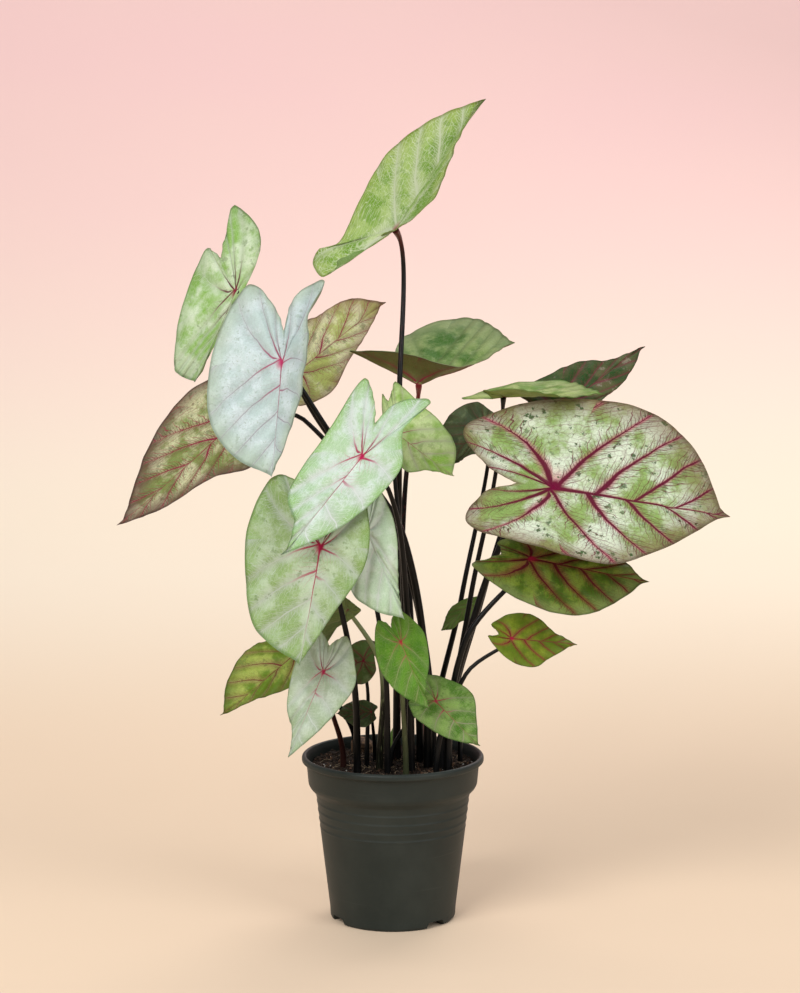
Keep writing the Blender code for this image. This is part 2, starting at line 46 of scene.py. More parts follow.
MM = 0.001
RIM_RADIUS = 70.0 * MM
POT_HEIGHT = 128.0 * MM
BEAD_HEIGHT = 5.5 * MM
COLLAR_RADIUS = 66.5 * MM
COLLAR_FOOT_RADIUS = 63.6 * MM
COLLAR_FOOT = 102.7 * MM
NECK_RADIUS = 59.1 * MM
NECK_HEIGHT = 98.0 * MM
BASE_RADIUS = 48.4 * MM
BASE_HEIGHT = 6.0 * MM
WALL = 1.6 * MM
FLOOR = 4.0 * MM
FLOOR_EDGE = 9.0 * MM
FOOT_RADIUS = 22.0 * MM
FOOT_RISE = 2.0 * MM
RING_HEIGHTS = (92.0 * MM, 85.0 * MM, 78.0 * MM, 72.0 * MM)
RING_RISE = 0.4 * MM
RING_HALF_HEIGHT = 1.3 * MM
CORNER_ROUNDING = 0.9 * MM
POT_SIDES = 144
SHARP_ANGLE = 35
NOTCH_ANGLES = (-152.0, -47.0, 28.0, 133.0)
NOTCH_WIDTH = 20.0 * MM
NOTCH_NARROWING = 0.72
NOTCH_HEIGHT = 5.0 * MM
NOTCH_ROOF_SLOPE = 0.37
NOTCH_DEPTH = 8.4 * MM
DRAIN_HOLES = 6
DRAIN_RADIUS = 4.0 * MM
DRAIN_CIRCLE = 33.0 * MM
DRAIN_TURN = 7.0


class Signal:
    """A number or colour in a node tree. A sum or product of signals is a new node there."""

    def __init__(self, tree, socket):
        self.tree = tree
        self.socket = socket

    def calc(self, operation, *others):
        return calculated(self.tree, operation, self, *others)

    def __add__(self, other):
        return self.calc("ADD", other)

    def __sub__(self, other):
        return self.calc("SUBTRACT", other)

    def __rsub__(self, other):
        return calculated(self.tree, "SUBTRACT", other, self)

    def __mul__(self, other):
        return self.calc("MULTIPLY", other)

    def __truediv__(self, other):
        return self.calc("DIVIDE", other)

    def __abs__(self):
        return self.calc("ABSOLUTE")

    def ramp(self, low, high, to_low=0.0, to_high=1.0):
        """A smooth step from to_low, where this is low, to to_high, where it is high."""
        sockets = {"Value": self, "From Min": low, "From Max": high}
        sockets |= {"To Min": to_low, "To Max": to_high}
        return signal(self.tree, "ShaderNodeMapRange", sockets, interpolation_type="SMOOTHSTEP")

    def choose(self, first, second):
        """The first number where this is 0 and the second where it is 1."""
        return signal(self.tree, "ShaderNodeMix", {0: self, 2: first, 3: second})

    def blend(self, first, second):
        """The first colour where this is 0 and the second where it is 1."""
        sockets = {0: self, 6: first, 7: second}
        return signal(self.tree, "ShaderNodeMix", sockets, 2, data_type="RGBA")

    def vector(self, operation, *others, output=0):
        """The result of a Vector Math node."""
        sockets = dict(enumerate((self, *others)))
        kind = "ShaderNodeVectorMath"
        return signal(self.tree, kind, sockets, output, operation=operation)

    def scaled(self, factor):
        sockets = {0: self, "Scale": factor}
        return signal(self.tree, "ShaderNodeVectorMath", sockets, operation="SCALE")

    def stretched(self, scale):
        return signal(self.tree, "ShaderNodeMapping", {"Vector": self, "Scale": scale})

    def noise(self, scale, detail=3.0, roughness=0.5):
        sockets = {"Vector": self, "Scale": scale, "Detail": detail, "Roughness": roughness}
        return signal(self.tree, "ShaderNodeTexNoise", sockets, "Fac")

    def split(self):
        """The three parts of a vector."""
        return outputs_of(self.tree, add_node(self.tree, "ShaderNodeSeparateXYZ", {0: self}))


def feed(tree, socket, value):
    """Links a signal to a node's input, or sets the input."""
    if isinstance(value, Signal):
        tree.links.new(value.socket, socket)
    else:
        is_colour = socket.type == "RGBA"
        socket.default_value = (*value, 1.0) if is_colour else value


def add_node(tree, kind, sockets=None, **settings):
    """A node with its settings, and its inputs linked or set."""
    made = tree.nodes.new(kind)
    for key, value in settings.items():
        setattr(made, key, value)
    for key, value in (sockets or {}).items():
        feed(tree, made.inputs[key], value)
    return made


def signal(tree, kind, sockets=None, output=0, **settings):
    """One output of a new node."""
    return Signal(tree, add_node(tree, kind, sockets, **settings).outputs[output])


def outputs_of(tree, node):
    """A node's outputs by name."""
    return {socket.name: Signal(tree, socket) for socket in node.outputs}


def calculated(tree, operation, *values):
    return signal(tree, "ShaderNodeMath", dict(enumerate(values)), operation=operation)


def new_finish(name, specular=None):
    """A material's node tree and Principled shader, with the object's own coordinates."""
    material = bpy.data.materials.new(name)
    material.use_nodes = True
    tree = material.node_tree
    shader = tree.nodes["Principled BSDF"]
    if specular is not None:
        shader.inputs["Specular IOR Level"].default_value = specular
    return material, tree, shader, signal(tree, "ShaderNodeTexCoord", output="Object")


def dress(tree, shader, colour, roughness):
    feed(tree, shader.inputs["Base Color"], colour)
    feed(tree, shader.inputs["Roughness"], roughness)


def add_bumps(tree, shader, height, strength, distance):
    sockets = {"Height": height, "Strength": strength, "Distance": distance}
    feed(tree, shader.inputs["Normal"], signal(tree, "ShaderNodeBump", sockets))


def pot_plastic():
    """Matt dark plastic with fine grain, a dusty bloom and faint marks round it."""
    material, tree, shader, place = new_finish("pot_plastic", specular=0.28)
    grain = place.noise(1400.0, 2.0)
    cloud = place.noise(22.0, 4.0, 0.6)
    marks = place.stretched((6.0, 6.0, 260.0)).noise(3.0)
    colour = cloud.ramp(0.35, 0.75).blend((0.015, 0.021, 0.018), (0.026, 0.032, 0.027))
    colour = marks.ramp(0.62, 0.8, 0.0, 0.35).blend(colour, (0.045, 0.052, 0.044))
    dress(tree, shader, colour, cloud.ramp(0.3, 0.8, 0.48, 0.62))
    add_bumps(tree, shader, grain + marks, 0.12, 0.0003)
    return material


def new_object(name, mesh):
    obj = bpy.data.objects.new(name, mesh)
    bpy.context.scene.collection.objects.link(obj)
    return obj


def smooth_piece(name, points, faces, *materials):
    """An object of smooth faces, all of them of the first material."""
    mesh = bpy.data.meshes.new(name)
    mesh.from_pydata(points, [], faces)
    for material in materials:
        mesh.materials.append(material)
    mesh.shade_smooth()
    return new_object(name, mesh)


def evaluate(obj):
    """Turns the object into the plain mesh that its modifiers make of it."""
    graph = bpy.context.evaluated_depsgraph_get()
    mesh = bpy.data.meshes.new_from_object(obj.evaluated_get(graph))
    obj.modifiers.clear()
    obj.data = mesh
    mesh.shade_smooth()


def wall_radius(height):
    """Outer radius of the pot's tapered body."""
    share = (height - BASE_HEIGHT) / (NECK_HEIGHT - BASE_HEIGHT)
    return BASE_RADIUS + (NECK_RADIUS - BASE_RADIUS) * share


def rounded(points, radius, steps=4):
    """A profile with each corner turned into a small curve."""
    made = []
    for i, corner in enumerate(points):
        before, after = points[i - 1], points[(i + 1) % len(points)]
        if corner[0] == 0.0:
            made.append(corner)
            continue
        ends = []
        for other in (before, after):
            span = math.hypot(other[0] - corner[0], other[1] - corner[1])
            share = min(0.45, radius / span)
            ends.append([c + (o - c) * share for c, o in zip(corner, other)])
        for k in range(steps + 1):
            t = k / steps
            made.append(tuple(
                (1 - t) ** 2 * a + 2 * t * (1 - t) * c + t * t * b
                for a, c, b in zip(ends[0], corner, ends[1])))
    return made


def pot_profile():
    bead_foot = POT_HEIGHT - BEAD_HEIGHT
    outer = [
        (RIM_RADIUS - 1.6 * MM, POT_HEIGHT),
        (RIM_RADIUS, POT_HEIGHT - 1.6 * MM),
        (RIM_RADIUS, bead_foot + 0.6 * MM),
        (RIM_RADIUS - 1.4 * MM, bead_foot - 0.2 * MM),
        (COLLAR_RADIUS, bead_foot - 0.6 * MM),
        (COLLAR_RADIUS - 1.5 * MM, COLLAR_FOOT + 2.8 * MM),
        (COLLAR_FOOT_RADIUS, COLLAR_FOOT),
        (NECK_RADIUS + 0.6 * MM, NECK_HEIGHT + 0.6 * MM)]
    for height in RING_HEIGHTS:
        radius = wall_radius(height)
        outer += [
            (radius, height + RING_HALF_HEIGHT),
            (radius + RING_RISE, height),
            (radius, height - RING_HALF_HEIGHT)]
    outer += [
        (wall_radius(8 * MM), 8 * MM),
        (BASE_RADIUS - 0.1 * MM, 1.4 * MM),
        (BASE_RADIUS - 1.5 * MM, 0.0),
        (BASE_RADIUS - 6.0 * MM, 0.0),
        (BASE_RADIUS - 7.5 * MM, FOOT_RISE),
        (FOOT_RADIUS + 1.5 * MM, FOOT_RISE),
        (FOOT_RADIUS, 0.0),
        (0.0, 0.0)]
    inner = [
        (0.0, FLOOR),
        (wall_radius(FLOOR) - WALL - 4 * MM, FLOOR),
        (wall_radius(FLOOR_EDGE) - WALL, FLOOR_EDGE),
        (wall_radius(NECK_HEIGHT) - WALL, NECK_HEIGHT - MM),
        (COLLAR_FOOT_RADIUS - WALL, COLLAR_FOOT + MM),
        (RIM_RADIUS - 4.6 * MM, POT_HEIGHT - 4.5 * MM),
        (RIM_RADIUS - 3.2 * MM, POT_HEIGHT - 0.6 * MM)]
    return rounded(outer + inner, CORNER_ROUNDING)


def turned_piece(name, profile, steps, material):
    """A solid of revolution whose profile runs from the top, outside, to the axis and back."""
    mesh = bpy.data.meshes.new(name)
    edges = [(i, (i + 1) % len(profile)) for i in range(len(profile))]
    on_axis = tuple(i for i, (radius, _) in enumerate(profile) if radius == 0.0)
    edges.remove(on_axis)
    mesh.from_pydata([(radius, 0.0, height) for radius, height in profile], edges, [])
    mesh.materials.append(material)
    obj = new_object(name, mesh)
    screw = obj.modifiers.new("turn", "SCREW")
    screw.steps = screw.render_steps = steps
    screw.use_merge_vertices = True
    screw.merge_threshold = 0.01 * MM
    return obj


def foot_cuts():
    """The slanted notches round the foot and the drain holes in the floor, as one hidden mesh."""
    shapes = bmesh.new()
    for angle in NOTCH_ANGLES:
        turn = math.radians(angle)
        for vert in bmesh.ops.create_cube(shapes, size=1.0)["verts"]:
            is_low = vert.co.z < 0
            inwards = -6 * MM if vert.co.x > 0 else NOTCH_DEPTH
            along = BASE_RADIUS - inwards
            across = vert.co.y * NOTCH_WIDTH * (1.0 if is_low else NOTCH_NARROWING)
            vert.co = (
                along * math.cos(turn) - across * math.sin(turn),
                along * math.sin(turn) + across * math.cos(turn),
                -MM if is_low else NOTCH_HEIGHT - NOTCH_ROOF_SLOPE * inwards)
    for index in range(DRAIN_HOLES):
        turn = 2 * math.pi * index / DRAIN_HOLES + math.radians(DRAIN_TURN)
        made = bmesh.ops.create_cone(
            shapes, cap_ends=True, segments=32, radius1=DRAIN_RADIUS, radius2=DRAIN_RADIUS,
            depth=5 * FLOOR)
        place = Vector((DRAIN_CIRCLE * math.cos(turn), DRAIN_CIRCLE * math.sin(turn), 0.0))
        bmesh.ops.translate(shapes, verts=made["verts"], vec=place)
    mesh = bpy.data.meshes.new("foot_cuts")
    shapes.to_mesh(mesh)
    shapes.free()
    cutter = new_object("foot_cuts", mesh)
    cutter.hide_render = True
    return cutter


pot = turned_piece("plant_pot", pot_profile(), POT_SIDES, pot_plastic())
cuts = foot_cuts()
taking = pot.modifiers.new("cuts", "BOOLEAN")
taking.operation = "DIFFERENCE"
taking.object = cuts
evaluate(pot)
pot.data.set_sharp_from_angle(angle=math.radians(SHARP_ANGLE))
bpy.data.objects.remove(cuts)
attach(pot, "root")
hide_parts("pot")


# Soil
# Moist peat mix, filled to a centimetre below the rim: dark crumbs and fibres, with some
# bark, white perlite and pale root threads lying on top.

SOIL_HEIGHT = 119.5 * MM
SOIL_RADIUS = 64.6 * MM
SOIL_FOOT = FLOOR + 0.35 * MM
SOIL_SIDES = 144
SOIL_RINGS = 46
SOIL_EDGE_GAP = 1.6 * MM
SOIL_SWELL = 2.2 * MM
SWELL_SIZE = 16 * MM
GRIT = 0.9 * MM
GRIT_SIZES = (3.1 * MM, 1.5 * MM)
THREAD_STEP = 1.9 * MM
THREAD_STEPS = 9
THREAD_SIDES = 5


def soil_top(x, y):
    """Height of the lumpy soil surface."""
    place = Vector((x, y, 0.0)) / SWELL_SIZE
    return SOIL_HEIGHT + SOIL_SWELL * noise.noise(place) + 1.0 * MM * noise.noise(place * 2.7)


def soil_finish(name, dark, light, scale, roughness=0.95):
    material, tree, shader, place = new_finish(name, specular=0.25)
    coarse = place.noise(scale, 6.0, 0.7)
    fine = place.noise(scale * 6, 3.0, 0.6)
    colour = coarse.ramp(0.4, 0.68).blend(dark, light)
    colour = fine.ramp(0.3, 0.62, 0.55, 0.0).blend(colour, (0.006, 0.004, 0.003))
    dress(tree, shader, colour, roughness)
    add_bumps(tree, shader, coarse + fine, 0.7, 0.0012)
    return material


def skinned(rings, count):
    """Quads between closed rings of count points that rise anticlockwise, and both end faces."""
    faces = []
    for low in range(0, (rings - 1) * count, count):
        high = low + count
        for i in range(count):
            j = (i + 1) % count
            faces.append((low + i, low + j, high + j, high + i))
    last = (rings - 1) * count
    return [*faces, tuple(range(count))[::-1], tuple(last + i for i in range(count))]


def make_ground():
    turns = np.arange(SOIL_SIDES) * 2 * math.pi / SOIL_SIDES
    rings = [
        (wall_radius(SOIL_FOOT) - 7 * MM, SOIL_FOOT),
        (wall_radius(NECK_HEIGHT) - 3 * MM, NECK_HEIGHT),
        (SOIL_RADIUS - 2.4 * MM, SOIL_HEIGHT - 8 * MM)]
    points = []
    for radius, height in rings:
        points += [(radius * math.cos(a), radius * math.sin(a), height) for a in turns]
    for share in np.linspace(1.0, 0.02, SOIL_RINGS):
        for a in turns:
            radius = share * (SOIL_RADIUS - SOIL_EDGE_GAP)
            x, y = radius * math.cos(a), radius * math.sin(a)
            coarse = noise.noise(Vector((x, y, 0.3)) / GRIT_SIZES[0])
            fine = noise.noise(Vector((x, y, 0.7)) / GRIT_SIZES[1])
            points.append((x, y, soil_top(x, y) + GRIT * (coarse + 0.6 * fine)))
    faces = skinned(len(rings) + SOIL_RINGS, SOIL_SIDES)
    finish = soil_finish("peat", (0.018, 0.011, 0.008), (0.060, 0.036, 0.022), scale=260.0)
    return smooth_piece("soil_ground", points, faces, finish)


def lump_shape(name, shape_of, seed, finish):
    """One rough lump of twenty faces, a millimetre in radius. Only its copies are seen."""
    shape = bmesh.new()
    bmesh.ops.create_icosphere(shape, subdivisions=1, radius=1.0)
    for vert in shape.verts:
        swell = 1 + 0.45 * noise.noise(vert.co * 1.7 + Vector((seed, 0, 0)))
        vert.co = Vector([c * part * swell * MM for c, part in zip(vert.co, shape_of)])
    mesh = bpy.data.meshes.new(name)
    shape.to_mesh(mesh)
    shape.free()
    mesh.materials.append(finish)
    obj = new_object(name, mesh)
    obj.hide_render = True
    return obj


def start_tree(name, **kinds):
    """A new Geometry Nodes tree with these inputs after the geometry, and its inputs' signals."""
    tree = bpy.data.node_groups.new(name, "GeometryNodeTree")
    for label, kind in {"Geometry": "Geometry", **kinds}.items():
        tree.interface.new_socket(label, in_out="INPUT", socket_type=f"NodeSocket{kind}")
    tree.interface.new_socket("Geometry", in_out="OUTPUT", socket_type="NodeSocketGeometry")
    return tree, outputs_of(tree, add_node(tree, "NodeGroupInput"))


def end_tree(tree, geometry, finish):
    """Makes real geometry of it, sets its material and puts it out."""
    real = signal(tree, "GeometryNodeRealizeInstances", {0: geometry})
    sockets = {"Geometry": real, "Material": finish}
    dressed = signal(tree, "GeometryNodeSetMaterial", sockets)
    add_node(tree, "NodeGroupOutput", {0: dressed})
    return tree


def strewing_tree():
    """Copies of a lump on the soil's upward faces, each turned and sized at random."""
    tree, given = start_tree(
        "strewing", Lump="Object", Finish="Material", Density="Float", Smallest="Float",
        Largest="Float", Seed="Int")
    seed = given["Seed"]
    height = signal(tree, "GeometryNodeInputPosition").split()["Z"]
    on_top = signal(
        tree, "FunctionNodeCompare", {0: height, 1: SOIL_HEIGHT - 5 * MM},
        operation="GREATER_THAN")
    spots = signal(tree, "GeometryNodeDistributePointsOnFaces", {
        "Mesh": given["Geometry"], "Selection": on_top, "Density": given["Density"],
        "Seed": seed}, "Points")
    turn = signal(tree, "FunctionNodeRandomValue", {
        0: (0.0, 0.0, 0.0), 1: (6.28, 6.28, 6.28), "Seed": seed}, data_type="FLOAT_VECTOR")
    size = signal(tree, "FunctionNodeRandomValue", {
        2: given["Smallest"], 3: given["Largest"], "Seed": seed}, 1, data_type="FLOAT")
    lump = signal(tree, "GeometryNodeObjectInfo", {"Object": given["Lump"]}, "Geometry")
    copies = signal(tree, "GeometryNodeInstanceOnPoints", {
        "Points": spots, "Instance": lump, "Rotation": turn, "Scale": size})
    return end_tree(tree, copies, given["Finish"])


def grow(obj, tree, **values):
    """Turns the object into what a Geometry Nodes tree makes of it with these inputs."""
    modifier = obj.modifiers.new("grow", "NODES")
    modifier.node_group = tree
    for item in tree.interface.items_tree:
        if item.name in values:
            modifier[item.identifier] = values[item.name]
    evaluate(obj)
    return obj


def strewn(name, ground, lump, density, seed, smallest, largest):
    """Lumps strewn on the soil, joined in one mesh."""
    obj = new_object(name, ground.data.copy())
    grow(
        obj, strewing, Lump=lump, Finish=lump.data.materials[0], Density=density,
        Smallest=smallest, Largest=largest, Seed=seed)
    bpy.data.objects.remove(lump)
    return obj


def tube(path, radii, sides):
    """Points and faces of a closed round tube along a path."""
    path = [Vector(p) for p in path]
    points = []
    side = Vector((1, 0, 0))
    for i, (place, radius) in enumerate(zip(path, radii)):
        way = (path[min(i + 1, len(path) - 1)] - path[max(i - 1, 0)]).normalized()
        side = (side - way * side.dot(way)).normalized()
        other = way.cross(side)
        for k in range(sides):
            a = 2 * math.pi * k / sides
            points.append(tuple(place + (side * math.cos(a) + other * math.sin(a)) * radius))
    return points, skinned(len(path), sides)


def make_threads(count, seed):
    """Pale root threads that lie loosely on the soil, joined in one mesh."""
    rng = np.random.default_rng(seed)
    points, faces = [], []
    for _ in range(count):
        angle, radius = rng.uniform(0, 2 * math.pi), rng.uniform(0.1, 0.85) * SOIL_RADIUS
        heading, bend = rng.uniform(0, 2 * math.pi), rng.uniform(-0.5, 0.5)
        x, y = radius * math.cos(angle), radius * math.sin(angle)
        path = []
        for step in range(THREAD_STEPS):
            path.append((x, y, soil_top(x, y) + (0.9 + 0.8 * math.sin(step * 0.8)) * MM))
            x += THREAD_STEP * math.cos(heading)
            y += THREAD_STEP * math.sin(heading)
            heading += bend
            if math.hypot(x, y) > SOIL_RADIUS - 4 * MM:
                break
        if len(path) < 4:
            continue
        thickness = rng.uniform(0.22, 0.42) * MM
        made, sides = tube(path, [thickness] * len(path), THREAD_SIDES)
        faces += [tuple(i + len(points) for i in face) for face in sides]
        points += made
    finish = soil_finish(
        "root_thread", (0.16, 0.11, 0.07), (0.42, 0.32, 0.21), scale=300.0, roughness=0.8)
    return smooth_piece("root_threads", points, faces, finish)


strewing = strewing_tree()
ground = make_ground()
crumb_finish = soil_finish("crumb", (0.016, 0.010, 0.007), (0.080, 0.045, 0.026), scale=700.0)
crumb = lump_shape("crumb", (1.0, 0.8, 0.7), seed=1, finish=crumb_finish)
crumbs = strewn(
    "soil_crumbs", ground, crumb, density=190000.0, seed=11, smallest=0.35, largest=1.7)
chip_finish = soil_finish("bark_chip", (0.06, 0.03, 0.018), (0.19, 0.10, 0.055), scale=420.0)
chip = lump_shape("chip", (2.6, 1.2, 0.7), seed=5, finish=chip_finish)
chips = strewn("bark_chips", ground, chip, density=9000.0, seed=23, smallest=0.5, largest=1.5)
perlite_finish = soil_finish("perlite", (0.55, 0.53, 0.49), (0.80, 0.78, 0.74), scale=900.0)
grain = lump_shape("grain", (1.0, 0.9, 0.8), seed=8, finish=perlite_finish)
perlite = strewn(
    "perlite_grains", ground, grain, density=5200.0, seed=37, smallest=0.4, largest=1.1)
threads = make_threads(count=70, seed=41)
for piece in (ground, crumbs, chips, perlite, threads):
    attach(piece, "root")
    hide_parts("soil")


# Corm, sprout and sheath
# Three short growths that stand in the soil behind the stalks: the brown knobbly top of the
# corm, a fresh green sprout, and the crimson papery sheath of a leaf still to come.

STALK_FOOT = 108.0 * MM
STALK_COLLAR = 124.0 * MM
STUB_SIDES = 24
STUB_RINGS = 28
SWELL_PLACES = (0.0, 0.25, 0.5, 0.75, 0.93, 1.0)


def make_stub(name, foot, radius, height, lean, swells, material, ribs=0, roughness=0.0):
    """A short closed shoot. Its radius up its length is given by swells, as shares of radius."""
    path, radii = [Vector((*foot, STALK_FOOT / MM)) * MM], [radius * MM]
    for share in np.linspace(0.0, 1.0, STUB_RINGS):
        rise = Vector((lean[0] * share, lean[1] * share, height * share))
        path.append((Vector((*foot, STALK_COLLAR / MM)) + rise) * MM)
        radii.append(radius * MM * float(np.interp(share, SWELL_PLACES, (1.0, *swells))))
    points, faces = tube(path, radii, STUB_SIDES)
    made = []
    for i, point in enumerate(points):
        centre, around = path[i // STUB_SIDES], i % STUB_SIDES / STUB_SIDES
        ripple = 0.05 * math.cos(2 * math.pi * ribs * around)
        swell = 1 + ripple + roughness * noise.noise(Vector(point) * 500)
        made.append(tuple(centre + (Vector(point) - centre) * swell))
    return smooth_piece(name, made, faces, material)


def shoot_finish(name, low, high, scale, roughness):
    """Skin of a shoot: streaks that run up it, between two colours."""
    material, tree, shader, place = new_finish(name)
    streaks = place.stretched((scale, scale, scale * 0.2)).noise(1.0, 4.0)
    dress(tree, shader, streaks.ramp(0.35, 0.65).blend(low, high), roughness)
    add_bumps(tree, shader, streaks, 0.3, 0.0006)
    return material


sprout_skin = shoot_finish(
    "sprout_skin", (0.16, 0.34, 0.05), (0.34, 0.55, 0.12), scale=420.0, roughness=0.45)
sprout = make_stub(
    "green_sprout", (-1, 40), radius=3.0, height=16, lean=(2, -1),
    swells=(1.1, 1.0, 0.75, 0.4, 0.15), material=sprout_skin, ribs=5)
sheath_skin = shoot_finish(
    "sheath_skin", (0.16, 0.012, 0.03), (0.42, 0.05, 0.08), scale=520.0, roughness=0.5)
sheath = make_stub(
    "leaf_sheath", (28, 38), radius=2.6, height=26, lean=(-8, -4),
    swells=(1.1, 1.0, 0.8, 0.5, 0.2), material=sheath_skin, ribs=4)
corm_bark = shoot_finish(
    "corm_bark", (0.05, 0.025, 0.014), (0.22, 0.12, 0.06), scale=300.0, roughness=0.85)
corm = make_stub(
    "corm_top", (-24, 45), radius=8.0, height=5, lean=(1, -1),
    swells=(1.05, 1.0, 0.85, 0.6, 0.4), material=corm_bark, roughness=0.25)
for piece, node in ((sprout, "sprout"), (sheath, "sheath"), (corm, "corm")):
    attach(piece, "root")
    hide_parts(node)


# Top leaf
# It stands alone on a straight dark stalk, bright green with a net of whitish veins,
# its right half folded back and one lobe curled round under it.

BLADE_THICKNESS = 0.5
CAD_THICKNESS = 0.9
BLADE_RINGS = 36
SPAN_SAMPLES = 12
LOBE_POINT_TURN = 0.3
WAVE_PHASE = 1.7
MARGIN_WAVE = 1.6
TIP_SPAN = 1.1
TIP_DROP = 0.2
DRIP = 0.04
CRUMPLE = 1.1
CRUMPLE_SIZES = (17, 8)
RELIEF = 1.1
VEIN_LEVEL = 0.4
OPEN_BREADTH = 0.35
FULL_RELIEF_LENGTH = 80
FULL_WAVE_REACH = 40
HUB_SHARE = 0.2
VEIN_SLOPE = 0.42
VEIN_GAIN = 1.0
VEIN_BEND = 0.32
LATERALS = 4.4
FAN_STEP = 0.384
FAN_BEND = 0.30
LOBE_TURN = 0.458
VEIN_WOBBLE = 0.05
LEAF_SHEER = 0.15
LOBE_FAN = 0.45
LOBE_FAN_FADE = 0.1
HANDOVER = 0.25
STALK_STEP = 6.0
STALK_NECK = 5.0
STALK_SIDES = 16
STALK_TAPER = 0.5
STALK_FLARE = 0.35
NEVER_ZERO = 1e-9


def leaf_slopes(leaf):
    """How far the blade goes back a millimetre sideways and upwards."""
    turn = math.tan(math.radians(leaf["turn"]))
    lean = math.tan(math.radians(leaf["lean"])) / math.cos(math.radians(leaf["turn"]))
    return turn, lean


def margin_points(leaf):
    """Margin points as (x, z, back), the leaf's own and one on each bulge, with their turns."""
    groups = []
    for name in ("apex", "right", "right_lobe", "sinus", "left_lobe", "left"):
        places = leaf[name] if isinstance(leaf[name], list) else [leaf[name]]
        groups.append([np.array((*place, 0.0)[:3], float) for place in places])
    points, turns = [], []
    for i, group in enumerate(groups):
        start, end = group[-1], groups[(i + 1) % len(groups)][0]
        chord = end - start
        middle = (start + end) / 2
        outward = np.array((-chord[1], chord[0], 0.0))
        if outward[0] * middle[0] + outward[1] * middle[1] < 0:
            outward = -outward
        points += [*group, middle + outward * leaf["bulges"][i]]
        half = (len(group) - 1) / 2
        turns += [2 * i + LOBE_POINT_TURN * (k - half) for k in range(len(group))]
        turns.append(2 * i + 1)
    return points, [*turns, 2 * len(groups)]


def blade_edge(leaf):
    """The blade's edge by Catmull-Rom curves, sharp at the apex and the sinus, with its turns."""
    points, turns = margin_points(leaf)
    count = len(points)
    edge, places = [], []
    for i in range(count):
        start, end = points[i], points[(i + 1) % count]
        before = start if i in (0, 6) else points[i - 1]
        after = end if (i + 1) % count in (0, 6) else points[(i + 2) % count]
        square = 2 * before - 5 * start + 4 * end - after
        cube = 3 * start - before - 3 * end + after
        for k in range(SPAN_SAMPLES):
            t = k / SPAN_SAMPLES
            edge.append((2 * start + (end - before) * t + square * t * t + cube * t ** 3) / 2)
            places.append(turns[i] + (turns[i + 1] - turns[i]) * t)
    return np.array(edge), np.array(places)


def quilting(u, v):
    """Height of the blade from 0 on a vein to 1 midway, at a point of the unit disc."""
    a = np.abs(u)
    s = (v - VEIN_SLOPE * a - VEIN_BEND * a * a) / (1 + VEIN_GAIN * a)
    fan = np.arctan2(v, a) + FAN_BEND * np.hypot(u, v) + LOBE_TURN
    upper = np.abs((LATERALS * s + 0.5) % 1 - 0.5)
    lower = np.abs((fan / FAN_STEP + 0.5) % 1 - 0.5)
    lower = np.maximum(lower, 0.5 * np.clip((np.abs(fan) - LOBE_FAN) / LOBE_FAN_FADE, 0, 1))
    share = np.clip((s + HANDOVER * np.hypot(u, v)) / 0.05, 0, 1)
    between = upper * share + lower * (1 - share)
    rib = np.where(v > 0, np.clip(a / 0.09, 0, 1), 1.0)
    return np.sin(np.pi * between) * rib


def lengths(vectors):
    return np.linalg.norm(vectors, axis=2, keepdims=True)


def neighbours_apart(sheet):
    """From the point before to the point after, round each ring of a sheet."""
    return np.roll(sheet, -1, axis=1) - np.roll(sheet, 1, axis=1)


def blade_points(leaf, order):
    """The blade's middle sheet from the hub out, as (ring, turn, xyz), with its disc pairs."""
    turn, lean = leaf_slopes(leaf)
    edge, places = blade_edge(leaf)
    count = len(edge)
    steps = np.minimum(np.arange(count), count - np.arange(count))
    x, z = leaf["apex"][:2]
    pull = np.array((x, z - TIP_DROP * math.hypot(x, z), 0.0))
    drawn = np.exp(-(steps / TIP_SPAN) ** 2)[:, None] * pull
    angle = 2 * np.pi * np.arange(count) / count
    phase = WAVE_PHASE * order
    reach = np.minimum(1.0, np.hypot(edge[:, 0], edge[:, 1]) / FULL_WAVE_REACH)
    wave = reach * MARGIN_WAVE * (np.sin(3 * angle + phase) + 0.6 * np.sin(5 * angle - phase))
    frill = reach * (1.1 * np.sin(13 * angle + 2 * phase) + 0.8 * np.sin(23 * angle - phase))
    share = (np.arange(1, BLADE_RINGS + 1) / BLADE_RINGS)[:, None]
    back = turn * edge[:, 0] + lean * edge[:, 1]
    depth = share * back + share ** 1.6 * edge[:, 2] + share ** 2 * wave + share ** 5 * frill
    tip = share[..., None] ** 8 * drawn * DRIP
    sheet = np.stack([share * edge[:, 0], depth, share * edge[:, 1]], axis=2)
    disc = np.pi / 2 - np.radians(30) * places
    pairs = np.stack([share * np.cos(disc), share * np.sin(disc)], axis=2)
    return sheet + np.array(leaf["attach"]) + tip, pairs


def blade_relief(leaf, sheet, pairs, outward):
    """Height of each point of the sheet above it, lower where a lobe draws the folds together."""
    first, second = CRUMPLE_SIZES
    crumple = np.array([[
        noise.noise(Vector(p) / first) + 0.5 * noise.noise(Vector(p) / second)
        for p in row] for row in sheet])
    height = RELIEF * (quilting(pairs[..., 0], pairs[..., 1]) - VEIN_LEVEL) + CRUMPLE * crumple
    length = math.hypot(*leaf["apex"][:2])
    area = lengths(np.cross(neighbours_apart(sheet), outward))
    breadth = area / np.maximum(lengths(outward), NEVER_ZERO)
    flat_breadth = lengths(neighbours_apart(pairs))
    room = np.clip(breadth / (OPEN_BREADTH * length * flat_breadth), 0, 1)
    return min(1.0, length / FULL_RELIEF_LENGTH) * height[..., None] * room


